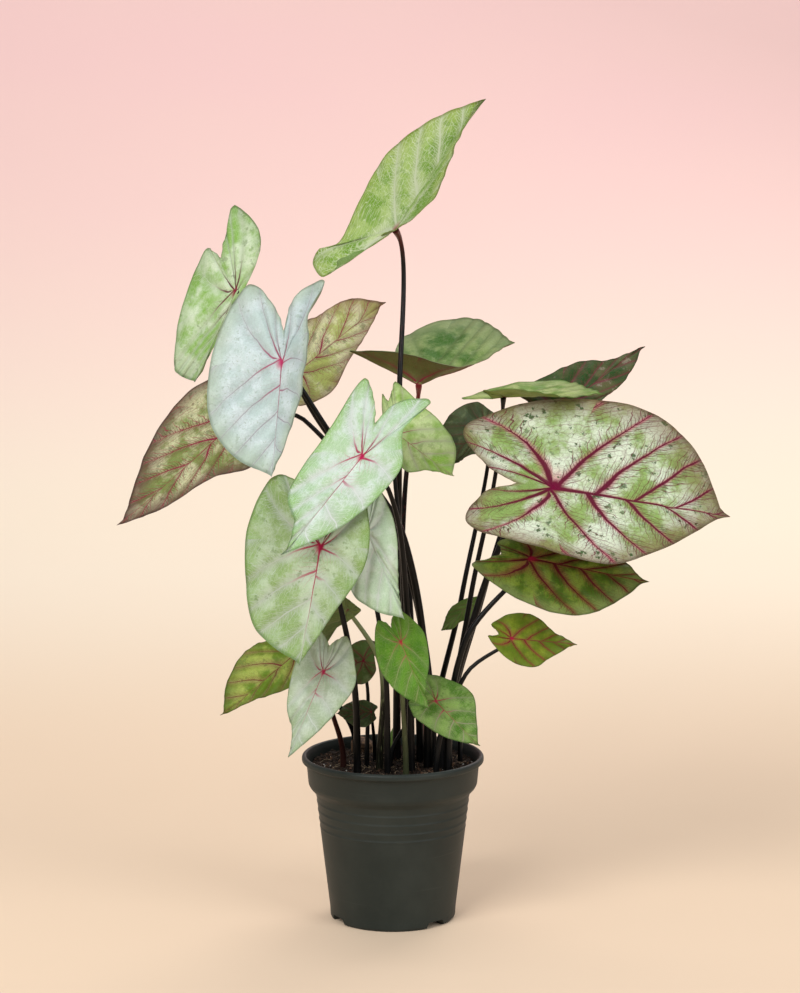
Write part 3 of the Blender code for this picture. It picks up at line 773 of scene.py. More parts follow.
def skin_faces(rings, count, turned):
    """Faces of one skin, its hub last, and those that join the rims of two such skins."""
    hub = rings * count
    after = [(k + 1) % count for k in range(count)]
    skin = []
    for low in range(0, hub - count, count):
        high = low + count
        skin += [(low + k, low + j, high + j, high + k) for k, j in enumerate(after)]
    skin += [(k, hub, j) for k, j in enumerate(after)]
    last, other = hub - count, hub + 1 + hub - count
    rim = [(last + k, last + j, other + j, other + k) for k, j in enumerate(after)]
    if turned:
        return [face[::-1] for face in skin], rim
    return skin, [face[::-1] for face in rim]


def make_blade(name, leaf, order, upper, under):
    """A thin closed sheet with two finishes, quilted between the veins."""
    sheet, pairs = blade_points(leaf, order)
    turn, lean = leaf_slopes(leaf)
    facing = np.array((turn, -1.0, lean)) / math.sqrt(turn ** 2 + 1 + lean ** 2)
    outward = np.gradient(sheet, axis=0)
    normals = np.cross(neighbours_apart(sheet), outward)
    normals /= np.maximum(lengths(normals), NEVER_ZERO)
    turned = (normals[:4] @ facing).mean() <= 0
    if turned:
        normals = -normals
    # Close to the hub the sheet faces one way, so that the two skins never cross there.
    near = np.clip(lengths(pairs) / HUB_SHARE, 0, 1)
    normals = near * normals + (1 - near) * facing
    normals /= np.maximum(lengths(normals), NEVER_ZERO)
    middle = sheet + normals * (blade_relief(leaf, sheet, pairs, outward) * near)
    rings, count = middle.shape[:2]
    skins, flats = [], []
    for offset in (BLADE_THICKNESS / 2, -BLADE_THICKNESS / 2):
        hub = np.array(leaf["attach"]) + facing * offset
        skins += [(middle + normals * offset).reshape(-1, 3), hub]
        flats += [pairs.reshape(-1, 2), np.zeros(2)]
    skin, rim = skin_faces(rings, count, turned)
    under_skin = [tuple(i + rings * count + 1 for i in face[::-1]) for face in skin]
    points = (np.vstack(skins) * MM).tolist()
    obj = smooth_piece(name, points, skin + rim + under_skin, upper, under)
    mesh = obj.data
    index = np.zeros(len(mesh.polygons), np.int32)
    index[-len(under_skin):] = 1
    mesh.polygons.foreach_set("material_index", index)
    corners = np.empty(len(mesh.loops), np.int32)
    mesh.loops.foreach_get("vertex_index", corners)
    flat = 0.5 + 0.5 * np.vstack(flats)[corners]
    layer = mesh.uv_layers.new(name="leaf")
    layer.data.foreach_set("uv", flat.astype(np.float32).ravel())
    return obj


def stalk_way(leaf):
    """Points up a stalk: upright in the soil, through its bends, then square on to the blade."""
    turn, lean = leaf_slopes(leaf)
    normal = Vector((turn, -1.0, lean)).normalized()
    hub = Vector(leaf["attach"])
    foot = Vector((*leaf["foot"], STALK_FOOT / MM))
    collar = Vector((*leaf["foot"], STALK_COLLAR / MM))
    tip = hub - normal * (CAD_THICKNESS / 2 + 0.8)
    neck = tip - normal * STALK_NECK
    stops = [collar, *(Vector(stop) for stop in leaf["via"]), neck]
    ways = [Vector((0, 0, 1))]
    for before, after in zip(stops, stops[2:]):
        ways.append((after - before).normalized())
    ways.append(normal)
    path = [foot, foot.lerp(collar, 0.5), collar]
    for i in range(len(stops) - 1):
        start, end = stops[i:i + 2]
        span = (end - start).length
        steps = max(4, round(span / STALK_STEP))
        for k in range(1, steps + 1):
            t = k / steps
            place = start * (2 * t ** 3 - 3 * t * t + 1)
            place += ways[i] * span * (t ** 3 - 2 * t * t + t)
            place += end * (3 * t * t - 2 * t ** 3)
            path.append(place + ways[i + 1] * span * (t ** 3 - t * t))
    return [*path, neck.lerp(tip, 0.5), tip, hub - normal * 0.1]


def stalk_tree():
    """A round stalk along a chain of edges, thinner upwards and flared under the blade."""
    tree, given = start_tree(
        "stalk", Finish="Material", Thickness="Float", Taper="Float", Flare="Float",
        Sides="Int")
    chain = signal(tree, "GeometryNodeMeshToCurve", {0: given["Geometry"]})
    way = signal(tree, "GeometryNodeSplineParameter", output="Factor")
    share = 1.0 - given["Taper"] * way
    share = share + given["Flare"] * way.ramp(0.955, 1.0) + way.ramp(0.0, 0.10, 0.10, 0.0)
    ring = signal(tree, "GeometryNodeCurvePrimitiveCircle", {
        "Resolution": given["Sides"], "Radius": 1.0})
    stalk = signal(tree, "GeometryNodeCurveToMesh", {
        "Curve": chain, "Profile Curve": ring, "Scale": given["Thickness"] * share,
        "Fill Caps": True})
    return end_tree(tree, stalk, given["Finish"])


def make_stalk(name, leaf, finish):
    path = stalk_way(leaf)
    mesh = bpy.data.meshes.new(name)
    mesh.from_pydata([tuple(p * MM) for p in path], [(i, i + 1) for i in range(len(path) - 1)], [])
    return grow(
        new_object(name, mesh), stalk_maker, Finish=finish, Thickness=leaf["thick"] * MM,
        Taper=STALK_TAPER, Flare=STALK_FLARE, Sides=STALK_SIDES)


def far_from_whole(value):
    """How far a number lies from the nearest whole number."""
    return abs((value + 10.5).calc("FRACT") - 0.5)


def vein_tree():
    """Veins on a blade's unit disc: midrib, lobe veins, side veins, branches, feathers, net."""
    tree = bpy.data.node_groups.new("caladium_veins", "ShaderNodeTree")
    sockets = tree.interface
    sockets.new_socket("Disc", in_out="INPUT", socket_type="NodeSocketVector")
    for label in ("Width", "Spread"):
        sockets.new_socket(label, in_out="INPUT", socket_type="NodeSocketFloat")
    given = outputs_of(tree, add_node(tree, "NodeGroupInput"))
    flat = given["Disc"].vector("MULTIPLY_ADD", (2.0, 2.0, 0.0), (-1.0, -1.0, 0.0))
    bend = signal(
        tree, "ShaderNodeTexNoise", {"Vector": flat, "Scale": 3.0, "Detail": 3.0}, "Color")
    drift = bend.vector("SUBTRACT", (0.5, 0.5, 0.5)).scaled(VEIN_WOBBLE)
    bent = flat.vector("ADD", drift)
    parts = bent.split()
    u, v = parts["X"], parts["Y"]
    a = abs(u)
    s = (v - a * (a * VEIN_BEND + VEIN_SLOPE)) / (a * VEIN_GAIN + 1.0)
    s = u.calc("SIGN") * 0.025 + s
    out = bent.vector("LENGTH", output="Value")
    fan = out * FAN_BEND + (v.calc("ARCTAN2", a) + LOBE_TURN)
    lower = far_from_whole(fan / FAN_STEP)
    # Each lobe has three such veins, and none runs close beside the sinus.
    lower = lower.calc("MAXIMUM", abs(fan).ramp(LOBE_FAN, LOBE_FAN + LOBE_FAN_FADE, 0.0, 0.5))
    upper = far_from_whole(s * LATERALS)
    is_upper = s.calc("GREATER_THAN", out * -HANDOVER)
    between = is_upper.choose(lower, upper)
    rib_gap = a + v.calc("LESS_THAN", 0.0)
    lobe_gap = abs(fan) * out
    side_gap = is_upper.choose(lower * FAN_STEP * out, upper * (1.0 / LATERALS))
    width = given["Width"]
    rib_width = width * v.ramp(0.0, 0.95, 1.0, 0.3)
    lobe_width = width * out.ramp(0.0, 0.9, 0.9, 0.2)
    side_width = width * (a.ramp(0.0, 0.9, 0.60, 0.16) * out.ramp(0.2, 1.0, 1.0, 0.5))
    rib = (rib_gap / rib_width).ramp(1.2, 0.6)
    lobe = (lobe_gap / lobe_width).ramp(1.2, 0.6)
    sides = (side_gap / side_width).ramp(1.3, 0.6)
    vein = rib.calc("MAXIMUM", lobe.calc("MAXIMUM", sides))
    # A midrib keeps the colour that it has at the star for longer than its side veins do.
    away = rib.choose(out.ramp(0.15, 0.55), out.ramp(0.35, 1.0))
    nearest = rib_gap.calc("MINIMUM", lobe_gap).calc("MINIMUM", side_gap)
    fade = given["Spread"] * out.ramp(0.1, 1.0, 1.0, 0.45)
    rough = flat.noise(7.0) * 1.6
    fine = rough + (out * 34.0 + between * -9.0)
    coarse = rough + (out * 11.0 + between * -5.0)
    cells = signal(
        tree, "ShaderNodeTexVoronoi", {"Vector": bent, "Scale": 22.0}, "Distance",
        feature="DISTANCE_TO_EDGE")
    straight = flat.vector("LENGTH", output="Value")
    results = {
        "Vein": vein,
        "Glow": (nearest / fade).ramp(1.0, 0.1),
        "Feather": far_from_whole(fine).ramp(0.19, 0.04) * between.ramp(0.42, 0.1),
        "Branch": far_from_whole(coarse).ramp(0.075, 0.02) * between.ramp(0.5, 0.3, 0.35, 1.0),
        "Net": cells.ramp(0.07, 0.015),
        # Quilt is the blade's bulge between veins: bump height, and in the leaf skin also painted
        # shade along the veins.
        "Quilt": (between * math.pi).calc("SINE") * (1.0 - vein),
        "Centre": out.ramp(0.10, 0.015),
        "Away": away,
        "Rim": straight.ramp(0.70, 0.99),
        "Edge": straight.ramp(0.955, 0.99)}
    for label in results:
        sockets.new_socket(label, in_out="OUTPUT", socket_type="NodeSocketFloat")
    add_node(tree, "NodeGroupOutput", results)
    return tree


def darker(colour, share):
    return tuple(share * c for c in colour)


def leaf_finish(
        name, body, second, vein, glow, star, border, fleck=None, far_vein=None, feather=None,
        mottle=0.5, mottle_scale=70.0, width=0.022, spread=0.08, glowing=0.6, feathering=0.35,
        netting=0.2, bordering=0.5, flecks=0.35, fleck_scale=170.0, gloss=0.42):
    """A blade's skin: two mottled colours, veins, a glow beside them, a star, a border and painted
    shade along the veins.
    """
    material, tree, shader, place = new_finish(name, specular=0.16)
    disc = signal(tree, "ShaderNodeUVMap", uv_map="leaf")
    veins = add_node(tree, "ShaderNodeGroup", node_tree=veins_of_leaf)
    for label, value in (("Disc", disc), ("Width", width), ("Spread", spread)):
        feed(tree, veins.inputs[label], value)
    mask = outputs_of(tree, veins)
    feather = feather or far_vein or vein
    cloud = place.noise(mottle_scale, 5.0, 0.62)
    fine = place.noise(900.0, 3.0, 0.6)
    spots = place.noise(fleck_scale, 4.0, 0.6)
    colour = (cloud.ramp(0.40, 0.60) * mottle).blend(body, second)
    colour = fine.ramp(0.35, 0.7, 0.0, 0.22).blend(colour, darker(body, 0.6))
    colour = (mask["Rim"] * bordering).blend(colour, border)
    colour = (mask["Glow"] * cloud.ramp(0.3, 0.62, 0.45 * glowing, glowing)).blend(colour, glow)
    speckle = spots.ramp(0.575, 0.64) * cloud.ramp(0.42, 0.56, 0.25 * flecks, flecks)
    colour = speckle.blend(colour, fleck or second)
    sap = mask["Away"].blend(vein, far_vein or vein)
    colour = (mask["Net"] * netting).blend(colour, feather)
    colour = (mask["Feather"] * feathering).blend(colour, feather)
    colour = (mask["Branch"] * min(1.0, 1.3 * feathering)).blend(colour, sap)
    colour = (mask["Vein"] * 0.95).blend(colour, sap)
    colour = mask["Centre"].blend(colour, star)
    colour = (mask["Edge"] * 0.6).blend(colour, darker(border, 0.55))
    # Painted shade: the colour is darkened to 0.82 along the sunken veins, as if their grooves lay
    # in shade, and left full midway between them.
    colour = colour.scaled(mask["Quilt"] * 0.18 + 0.82)
    dress(tree, shader, colour, fine.ramp(0.3, 0.7, gloss - 0.05, gloss + 0.1))
    ridges = mask["Net"].calc("MAXIMUM", mask["Branch"]) * -0.3
    add_bumps(tree, shader, mask["Quilt"] + ridges + fine * 0.2, 0.5, 0.0008)
    sheer = signal(tree, "ShaderNodeBsdfTranslucent", {"Color": colour})
    skin = Signal(tree, shader.outputs[0])
    joined = signal(tree, "ShaderNodeMixShader", {0: LEAF_SHEER, 1: skin, 2: sheer})
    feed(tree, tree.nodes["Material Output"].inputs["Surface"], joined)
    return material


def stalk_finish(name, low, high, change=(0.22, 0.44)):
    """Smooth stalk skin: one colour low down and another high up, with fine streaks along it."""
    material, tree, shader, place = new_finish(name, specular=0.2)
    streaks = place.stretched((900.0, 900.0, 60.0)).noise(1.0)
    colour = place.split()["Z"].ramp(*change).blend(low, high)
    paler = tuple(min(1.0, 1.5 * c + 0.002) for c in high)
    colour = streaks.ramp(0.55, 0.75, 0.0, 0.4).blend(colour, paler)
    dress(tree, shader, colour, streaks.ramp(0.3, 0.7, 0.3, 0.45))
    add_bumps(tree, shader, streaks, 0.15, 0.0004)
    return material


def add_leaf(name, slot, order, leaf, upper, under, skin=None):
    """A leaf's blade and stalk, each in place of its CAD node. Its order sets its own waves."""
    face = leaf_finish(f"{name}_upper", **upper)
    back = leaf_finish(f"{name}_under", width=0.02, feathering=0.2, gloss=0.5, **under)
    blade = make_blade(f"{name}_leaf_blade", leaf, order, face, back)
    stalk = make_stalk(f"{name}_leaf_stalk", leaf, skin or dark_stalk)
    for piece, node, finish in ((blade, f"blade_{name}", slot), (stalk, f"stalk_{name}", "stalk")):
        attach(piece, "root")
        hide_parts(node)


stalk_maker = stalk_tree()
veins_of_leaf = vein_tree()
dark_stalk = stalk_finish("dark_stalk_skin", (0.003, 0.003, 0.003), (0.006, 0.004, 0.004))
top_skin = stalk_finish(
    "top_stalk_skin", (0.005, 0.004, 0.004), (0.09, 0.018, 0.018), (0.505, 0.53))
add_leaf(
    "top", "leaf_bright", order=0,
    leaf=dict(
        attach=(2, 0, 530), turn=-15, lean=25, apex=(66, 97), right=(41, 54, -30),
        right_lobe=(3, 3, -18), sinus=(-11, -5),
        left_lobe=[(-42, -17), (-45, -28, -8), (-55, -34, -10),
                   (-62, -25, -4), (-57, -15), (-41, -8)],
        left=(-3, 59, 5), bulges=(-0.04, 0.13, 0.02, 0.1, 0.03, 0.06), foot=(3, 12), thick=3.2,
        via=[(5, 4, 401)]),
    upper=dict(
        body=(0.18, 0.34, 0.035), second=(0.43, 0.58, 0.18), vein=(0.7, 0.78, 0.52),
        glow=(0.6, 0.7, 0.4), star=(0.45, 0.2, 0.16), border=(0.3, 0.38, 0.06), mottle=0.85,
        mottle_scale=48.0, width=0.024, spread=0.1, glowing=0.75, feathering=0.6, netting=0.45,
        flecks=0.4, fleck=(0.1, 0.22, 0.03), bordering=0.4),
    under=dict(
        body=(0.16, 0.28, 0.06), second=(0.24, 0.38, 0.11), vein=(0.42, 0.52, 0.26),
        glow=(0.3, 0.42, 0.16), star=(0.3, 0.1, 0.08), border=(0.2, 0.3, 0.08)),
    skin=top_skin)


# Upper left leaf
# A tall leaf held edge on at the left, green streaked with white, with dark red veins
# that run down from where its stalk joins it.

add_leaf(
    "upper_left", "leaf_streaked", order=1,
    leaf=dict(
        attach=(-116, -35, 487), turn=-30, lean=15, apex=(-30, -67), right=(-47, -54),
        right_lobe=(-25, 27), sinus=(-11, 23), left_lobe=(-2, 62), left=(15, 20, 4),
        bulges=(0.2, 0.06, 0.2, 0.03, 0.25, 0.0), foot=(31, 4), thick=3.0,
        via=[(6, -4, 291), (-58, -20, 392)]),
    upper=dict(
        body=(0.26, 0.5, 0.09), second=(0.8, 0.9, 0.72), vein=(0.16, 0.02, 0.04),
        far_vein=(0.66, 0.8, 0.55), glow=(0.76, 0.88, 0.68), star=(0.3, 0.02, 0.05),
        border=(0.22, 0.36, 0.12), mottle=0.85, mottle_scale=45.0, width=0.014, spread=0.16,
        glowing=0.5, flecks=0.5, fleck=(0.12, 0.22, 0.05)),
    under=dict(
        body=(0.2, 0.3, 0.1), second=(0.34, 0.42, 0.22), vein=(0.2, 0.05, 0.05),
        glow=(0.3, 0.4, 0.2), star=(0.2, 0.02, 0.04), border=(0.2, 0.3, 0.1)))


# White leaf
# The palest leaf, almost white with a cold green cast, thin pink veins and a pink star
# where the stalk meets it. One lobe stands up behind.

add_leaf(
    "white", "leaf_white", order=2,
    leaf=dict(
        attach=(-81, -60, 437), turn=-12, lean=18, apex=(-7, -81), right=(-55, -37),
        right_lobe=(-27, 54), sinus=(1, 22), left_lobe=(31, 59), left=(19, 10, -24),
        bulges=(0.15, 0.1, 0.16, 0.2, -0.1, 0.05), foot=(27, -8), thick=3.4,
        via=[(9, -24, 298), (-46, -48, 382)]),
    upper=dict(
        body=(0.56, 0.7, 0.68), second=(0.74, 0.85, 0.88), vein=(0.5, 0.14, 0.24),
        far_vein=(0.42, 0.42, 0.46), glow=(0.76, 0.8, 0.82), star=(0.65, 0.04, 0.17),
        border=(0.42, 0.53, 0.36), mottle=0.8, width=0.012, spread=0.05, glowing=0.4,
        feathering=0.15, netting=0.08, flecks=0.35, fleck=(0.14, 0.24, 0.1), fleck_scale=320.0,
        bordering=0.55),
    under=dict(
        body=(0.42, 0.47, 0.36), second=(0.5, 0.56, 0.46), vein=(0.36, 0.16, 0.18),
        glow=(0.46, 0.53, 0.42), star=(0.5, 0.08, 0.14), border=(0.3, 0.38, 0.24)))


# Left back leaf
# A long leaf at the far left that hangs away from the pot, brownish green with crimson
# veins and a purple-brown margin.

add_leaf(
    "left_back", "leaf_bronze", order=3,
    leaf=dict(
        attach=(-116, 25, 386), turn=-15, lean=25, apex=(-91, -81), right=(-69, -19),
        right_lobe=(-1, 36), sinus=(13, 7), left_lobe=(32, -10), left=(-23, -46),
        bulges=(0.02, 0.12, 0.04, 0.04, 0.14, 0.04), foot=(21, 14), thick=3.0,
        via=[(-3, 22, 286), (-68, 16, 385)]),
    upper=dict(
        body=(0.25, 0.33, 0.09), second=(0.74, 0.74, 0.46), vein=(0.34, 0.01, 0.06),
        feather=(0.1, 0.055, 0.03), glow=(0.44, 0.24, 0.16), star=(0.45, 0.02, 0.09),
        border=(0.14, 0.075, 0.06), mottle=0.9, mottle_scale=55.0, width=0.015, spread=0.06,
        glowing=0.6, feathering=0.7, netting=0.3, flecks=0.5, fleck=(0.07, 0.09, 0.03),
        bordering=0.8),
    under=dict(
        body=(0.2, 0.2, 0.1), second=(0.28, 0.27, 0.16), vein=(0.34, 0.05, 0.09),
        glow=(0.26, 0.16, 0.12), star=(0.4, 0.03, 0.08), border=(0.14, 0.09, 0.07)))


# Middle back leaf
# A leaf behind the white one that faces up to the right, olive and yellow-green with
# pink veins and a purple margin.

add_leaf(
    "mid_back", "leaf_olive", order=4,
    leaf=dict(
        attach=(-73, 40, 419), turn=12, lean=28, apex=(65, 50), right=(39, 7),
        right_lobe=(2, -25), sinus=(-7, -3), left_lobe=(-11, 19), left=(15, 41),
        bulges=(0.03, 0.17, 0.04, 0.04, 0.15, 0.15), foot=(12, 24), thick=3.0,
        via=[(6, 34, 286), (-52, 40, 374)]),
    upper=dict(
        body=(0.6, 0.68, 0.2), second=(0.98, 0.98, 0.62), vein=(0.42, 0.03, 0.09),
        feather=(0.2, 0.09, 0.05), glow=(0.7, 0.46, 0.3), star=(0.45, 0.04, 0.1),
        border=(0.38, 0.17, 0.15), mottle=0.9, mottle_scale=60.0, width=0.016, spread=0.06,
        glowing=0.5, feathering=0.6, flecks=0.5, fleck=(0.14, 0.17, 0.05), bordering=0.45),
    under=dict(
        body=(0.22, 0.2, 0.1), second=(0.3, 0.28, 0.16), vein=(0.36, 0.07, 0.1),
        glow=(0.26, 0.16, 0.12), star=(0.4, 0.03, 0.08), border=(0.16, 0.09, 0.08)))


# Cupped back leaf
# A leaf at the back whose lobes curl round like a cup: dark green above with cream
# streaks at the right, olive below with a red midrib.

back_cup_skin = stalk_finish(
    "cup_stalk_skin", (0.004, 0.003, 0.003), (0.16, 0.02, 0.02), (0.33, 0.40))
add_leaf(
    "back_cup", "leaf_olive", order=5,
    leaf=dict(
        attach=(20, 60, 406), turn=0, lean=40, apex=(73, 30, 12), right=(25, 17, -30),
        right_lobe=(-53, 28, -40), sinus=(-21, 11), left_lobe=(-12, 31, 36), left=(41, 45, 46),
        bulges=(-0.1, 0.05, -0.15, 0.1, 0.08, 0.1), foot=(14, 38), thick=3.0,
        via=[(7, 36, 241), (10, 52, 333)]),
    upper=dict(
        body=(0.06, 0.18, 0.015), second=(0.44, 0.54, 0.2), vein=(0.18, 0.03, 0.03),
        far_vein=(0.24, 0.34, 0.1), glow=(0.2, 0.33, 0.1), star=(0.35, 0.04, 0.05),
        border=(0.4, 0.46, 0.22), mottle=0.75, mottle_scale=38.0, width=0.014, spread=0.08,
        glowing=0.3, feathering=0.25, flecks=0.5, fleck=(0.42, 0.5, 0.24), bordering=0.6),
    under=dict(
        body=(0.13, 0.15, 0.04), second=(0.2, 0.22, 0.07), vein=(0.3, 0.03, 0.05),
        glow=(0.2, 0.1, 0.05), star=(0.35, 0.02, 0.05), border=(0.12, 0.14, 0.04)),
    skin=back_cup_skin)


# Centre leaf
# The leaf in the middle of the plant, pale green with white veins, a crimson star and
# a fringe of deeper green.

add_leaf(
    "centre", "leaf_pale", order=6,
    leaf=dict(
        attach=(-22, -90, 371), turn=5, lean=22, apex=(-56, -67), right=(-53, -23),
        right_lobe=(0, 54), sinus=(9, 23), left_lobe=(50, 38), left=(27, -11),
        bulges=(-0.12, 0.0, 0.13, 0.18, -0.18, 0.08), foot=(14, -25), thick=3.0,
        via=[(8, -44, 287), (-3, -66, 343)]),
    upper=dict(
        body=(0.47, 0.68, 0.42), second=(0.76, 0.87, 0.84), vein=(0.52, 0.04, 0.13),
        far_vein=(0.86, 0.94, 0.9), glow=(0.82, 0.9, 0.86), star=(0.62, 0.01, 0.1),
        border=(0.3, 0.54, 0.17), mottle=0.8, width=0.016, spread=0.1, glowing=0.6,
        feathering=0.45, netting=0.3, flecks=0.35, fleck=(0.26, 0.44, 0.16), bordering=0.85),
    under=dict(
        body=(0.3, 0.42, 0.2), second=(0.4, 0.5, 0.3), vein=(0.5, 0.6, 0.42),
        glow=(0.42, 0.54, 0.34), star=(0.5, 0.03, 0.08), border=(0.24, 0.38, 0.14)))


# Leaf behind the centre
# A leaf close behind the centre one, mottled green and cream, with a red midrib.

add_leaf(
    "centre_behind", "leaf_cream", order=7,
    leaf=dict(
        attach=(3, -38, 381), turn=10, lean=22, apex=(41, -31), right=(6, -26),
        right_lobe=(-11, 27), sinus=(-6, 23), left_lobe=(0, 37), left=(34, 6),
        bulges=(-0.05, 0.11, 0.04, 0.04, 0.0, 0.18), foot=(12, -5), thick=2.6,
        via=[(7, -20, 282)]),
    upper=dict(
        body=(0.28, 0.52, 0.07), second=(0.74, 0.86, 0.46), vein=(0.42, 0.03, 0.08),
        far_vein=(0.55, 0.5, 0.36), glow=(0.6, 0.7, 0.4), star=(0.55, 0.02, 0.09),
        border=(0.34, 0.52, 0.16), mottle=0.8, mottle_scale=55.0, width=0.012, spread=0.09,
        glowing=0.5, feathering=0.25, flecks=0.4, fleck=(0.2, 0.36, 0.08)),
    under=dict(
        body=(0.24, 0.36, 0.12), second=(0.36, 0.45, 0.22), vein=(0.42, 0.1, 0.1),
        glow=(0.34, 0.44, 0.22), star=(0.4, 0.03, 0.06), border=(0.22, 0.34, 0.1)))


# Broad lower leaf
# The broad leaf under the centre one, pale green with a crimson star and midrib and
# small dark flecks along its left edge.

add_leaf(
    "low_broad", "leaf_pale", order=8,
    leaf=dict(
        attach=(-52, -100, 306), turn=-6, lean=18, apex=(-15, -82), right=(-55, -21),
        right_lobe=(-36, 48), sinus=(-1, 32), left_lobe=(29, 40), left=(31, -15),
        bulges=(0.2, 0.11, 0.15, 0.08, 0.1, 0.0), foot=(-27, -28), thick=3.0,
        via=[(-31, -60, 215)]),
    upper=dict(
        body=(0.28, 0.42, 0.14), second=(0.56, 0.68, 0.48), vein=(0.48, 0.04, 0.1),
        far_vein=(0.6, 0.68, 0.56), glow=(0.64, 0.72, 0.6), star=(0.55, 0.01, 0.08),
        border=(0.24, 0.4, 0.1), mottle=0.85, mottle_scale=45.0, width=0.016, spread=0.1,
        glowing=0.55, feathering=0.4, netting=0.25, flecks=0.5, fleck=(0.12, 0.22, 0.04),
        bordering=0.6),
    under=dict(
        body=(0.24, 0.33, 0.13), second=(0.34, 0.42, 0.22), vein=(0.38, 0.1, 0.1),
        glow=(0.34, 0.42, 0.26), star=(0.4, 0.03, 0.06), border=(0.2, 0.3, 0.1)))


# Hanging lower leaf
# A narrow leaf that hangs straight down beside the broad one, pale green and white.

add_leaf(
    "low_hanging", "leaf_cream", order=9,
    leaf=dict(
        attach=(-19, -82, 315), turn=8, lean=14, apex=(27, -63), right=(-11, -43),
        right_lobe=(-11, 22), sinus=(-1, 19), left_lobe=(11, 27), left=(23, -29),
        bulges=(0.1, 0.09, 0.04, 0.04, 0.08, -0.04), foot=(-4, -34), thick=2.6,
        via=[(-6, -52, 212)]),
    upper=dict(
        body=(0.58, 0.76, 0.54), second=(0.86, 0.95, 0.86), vein=(0.74, 0.76, 0.68),
        far_vein=(0.84, 0.9, 0.82), glow=(0.8, 0.88, 0.8), star=(0.45, 0.05, 0.1),
        border=(0.32, 0.46, 0.2), mottle=0.65, width=0.012, spread=0.09, glowing=0.5,
        feathering=0.3, flecks=0.3, fleck=(0.25, 0.38, 0.14)),
    under=dict(
        body=(0.28, 0.36, 0.18), second=(0.38, 0.45, 0.28), vein=(0.4, 0.3, 0.22),
        glow=(0.38, 0.46, 0.3), star=(0.35, 0.05, 0.07), border=(0.22, 0.32, 0.12)))


# Yellow-green left leaf
# A small leaf low at the left, yellow-green with a red midrib and darker margins.

add_leaf(
    "yellow_left", "leaf_young", order=10,
    leaf=dict(
        attach=(-72, -45, 216), turn=-18, lean=28, apex=(-55, -46), right=(-39, -2),
        right_lobe=(-1, 17), sinus=(9, 5), left_lobe=(17, -5), left=(-8, -26),
        bulges=(0.12, 0.02, 0.04, 0.04, 0.11, -0.03), foot=(-29, 28), thick=2.4,
        via=[(-38, 2, 160)]),
    upper=dict(
        body=(0.14, 0.27, 0.015), second=(0.48, 0.58, 0.12), vein=(0.24, 0.015, 0.03),
        far_vein=(0.2, 0.06, 0.03), glow=(0.44, 0.34, 0.14), star=(0.5, 0.03, 0.08),
        border=(0.13, 0.19, 0.03), mottle=0.9, mottle_scale=50.0, width=0.015, spread=0.09,
        glowing=0.5, feathering=0.35, flecks=0.5, fleck=(0.12, 0.2, 0.04), bordering=0.65),
    under=dict(
        body=(0.18, 0.24, 0.07), second=(0.26, 0.32, 0.11), vein=(0.35, 0.06, 0.07),
        glow=(0.26, 0.22, 0.1), star=(0.4, 0.03, 0.06), border=(0.13, 0.2, 0.05)))


# White lower leaf
# A small white leaf low at the front, with pale green veins and a small red star.

low_white_skin = stalk_finish("reddish_stalk_skin", (0.03, 0.010, 0.008), (0.08, 0.022, 0.016))
add_leaf(
    "low_white", "leaf_white", order=11,
    leaf=dict(
        attach=(-51, -80, 209), turn=-8, lean=22, apex=(-25, -59), right=(-27, -24),
        right_lobe=(-8, 28), sinus=(4, 18), left_lobe=(18, 24), left=(22, -12),
        bulges=(-0.08, 0.08, 0.2, 0.13, 0.09, 0.04), foot=(-38, -8), thick=2.4,
        via=[(-46, -34, 169)]),
    upper=dict(
        body=(0.42, 0.54, 0.36), second=(0.66, 0.76, 0.64), vein=(0.55, 0.1, 0.16),
        far_vein=(0.72, 0.8, 0.7), glow=(0.7, 0.78, 0.68), star=(0.62, 0.02, 0.1),
        border=(0.34, 0.46, 0.22), mottle=0.8, width=0.016, spread=0.09, glowing=0.5,
        feathering=0.4, flecks=0.35, fleck=(0.3, 0.4, 0.22), bordering=0.55),
    under=dict(
        body=(0.36, 0.42, 0.28), second=(0.45, 0.52, 0.38), vein=(0.3, 0.36, 0.24),
        glow=(0.42, 0.5, 0.36), star=(0.45, 0.05, 0.1), border=(0.26, 0.34, 0.16)),
    skin=low_white_skin)


# Small back leaf
# A small dark leaf behind the white lower one, with a red midrib.

add_leaf(
    "small_back", "leaf_dark", order=12,
    leaf=dict(
        attach=(-22, -25, 206), turn=0, lean=30, apex=(-23, -8), right=(-11, 10),
        right_lobe=(11, 12), sinus=(8, 3), left_lobe=(9, -8), left=(-7, -16),
        bulges=(0.11, 0.15, 0.04, 0.04, 0.2, 0.2), foot=(-20, -8), thick=2.0,
        via=[(-19, -6, 175)]),
    upper=dict(
        body=(0.11, 0.21, 0.05), second=(0.32, 0.4, 0.2), vein=(0.36, 0.03, 0.06),
        glow=(0.3, 0.22, 0.14), star=(0.45, 0.02, 0.07), border=(0.08, 0.12, 0.04), mottle=0.6,
        width=0.022, spread=0.1, glowing=0.55, flecks=0.3),
    under=dict(
        body=(0.08, 0.12, 0.04), second=(0.12, 0.18, 0.06), vein=(0.3, 0.04, 0.06),
        glow=(0.14, 0.1, 0.05), star=(0.35, 0.03, 0.06), border=(0.07, 0.1, 0.03)))


# Tiny dark leaf
# A tiny dark leaf just above the soil, still half furled.

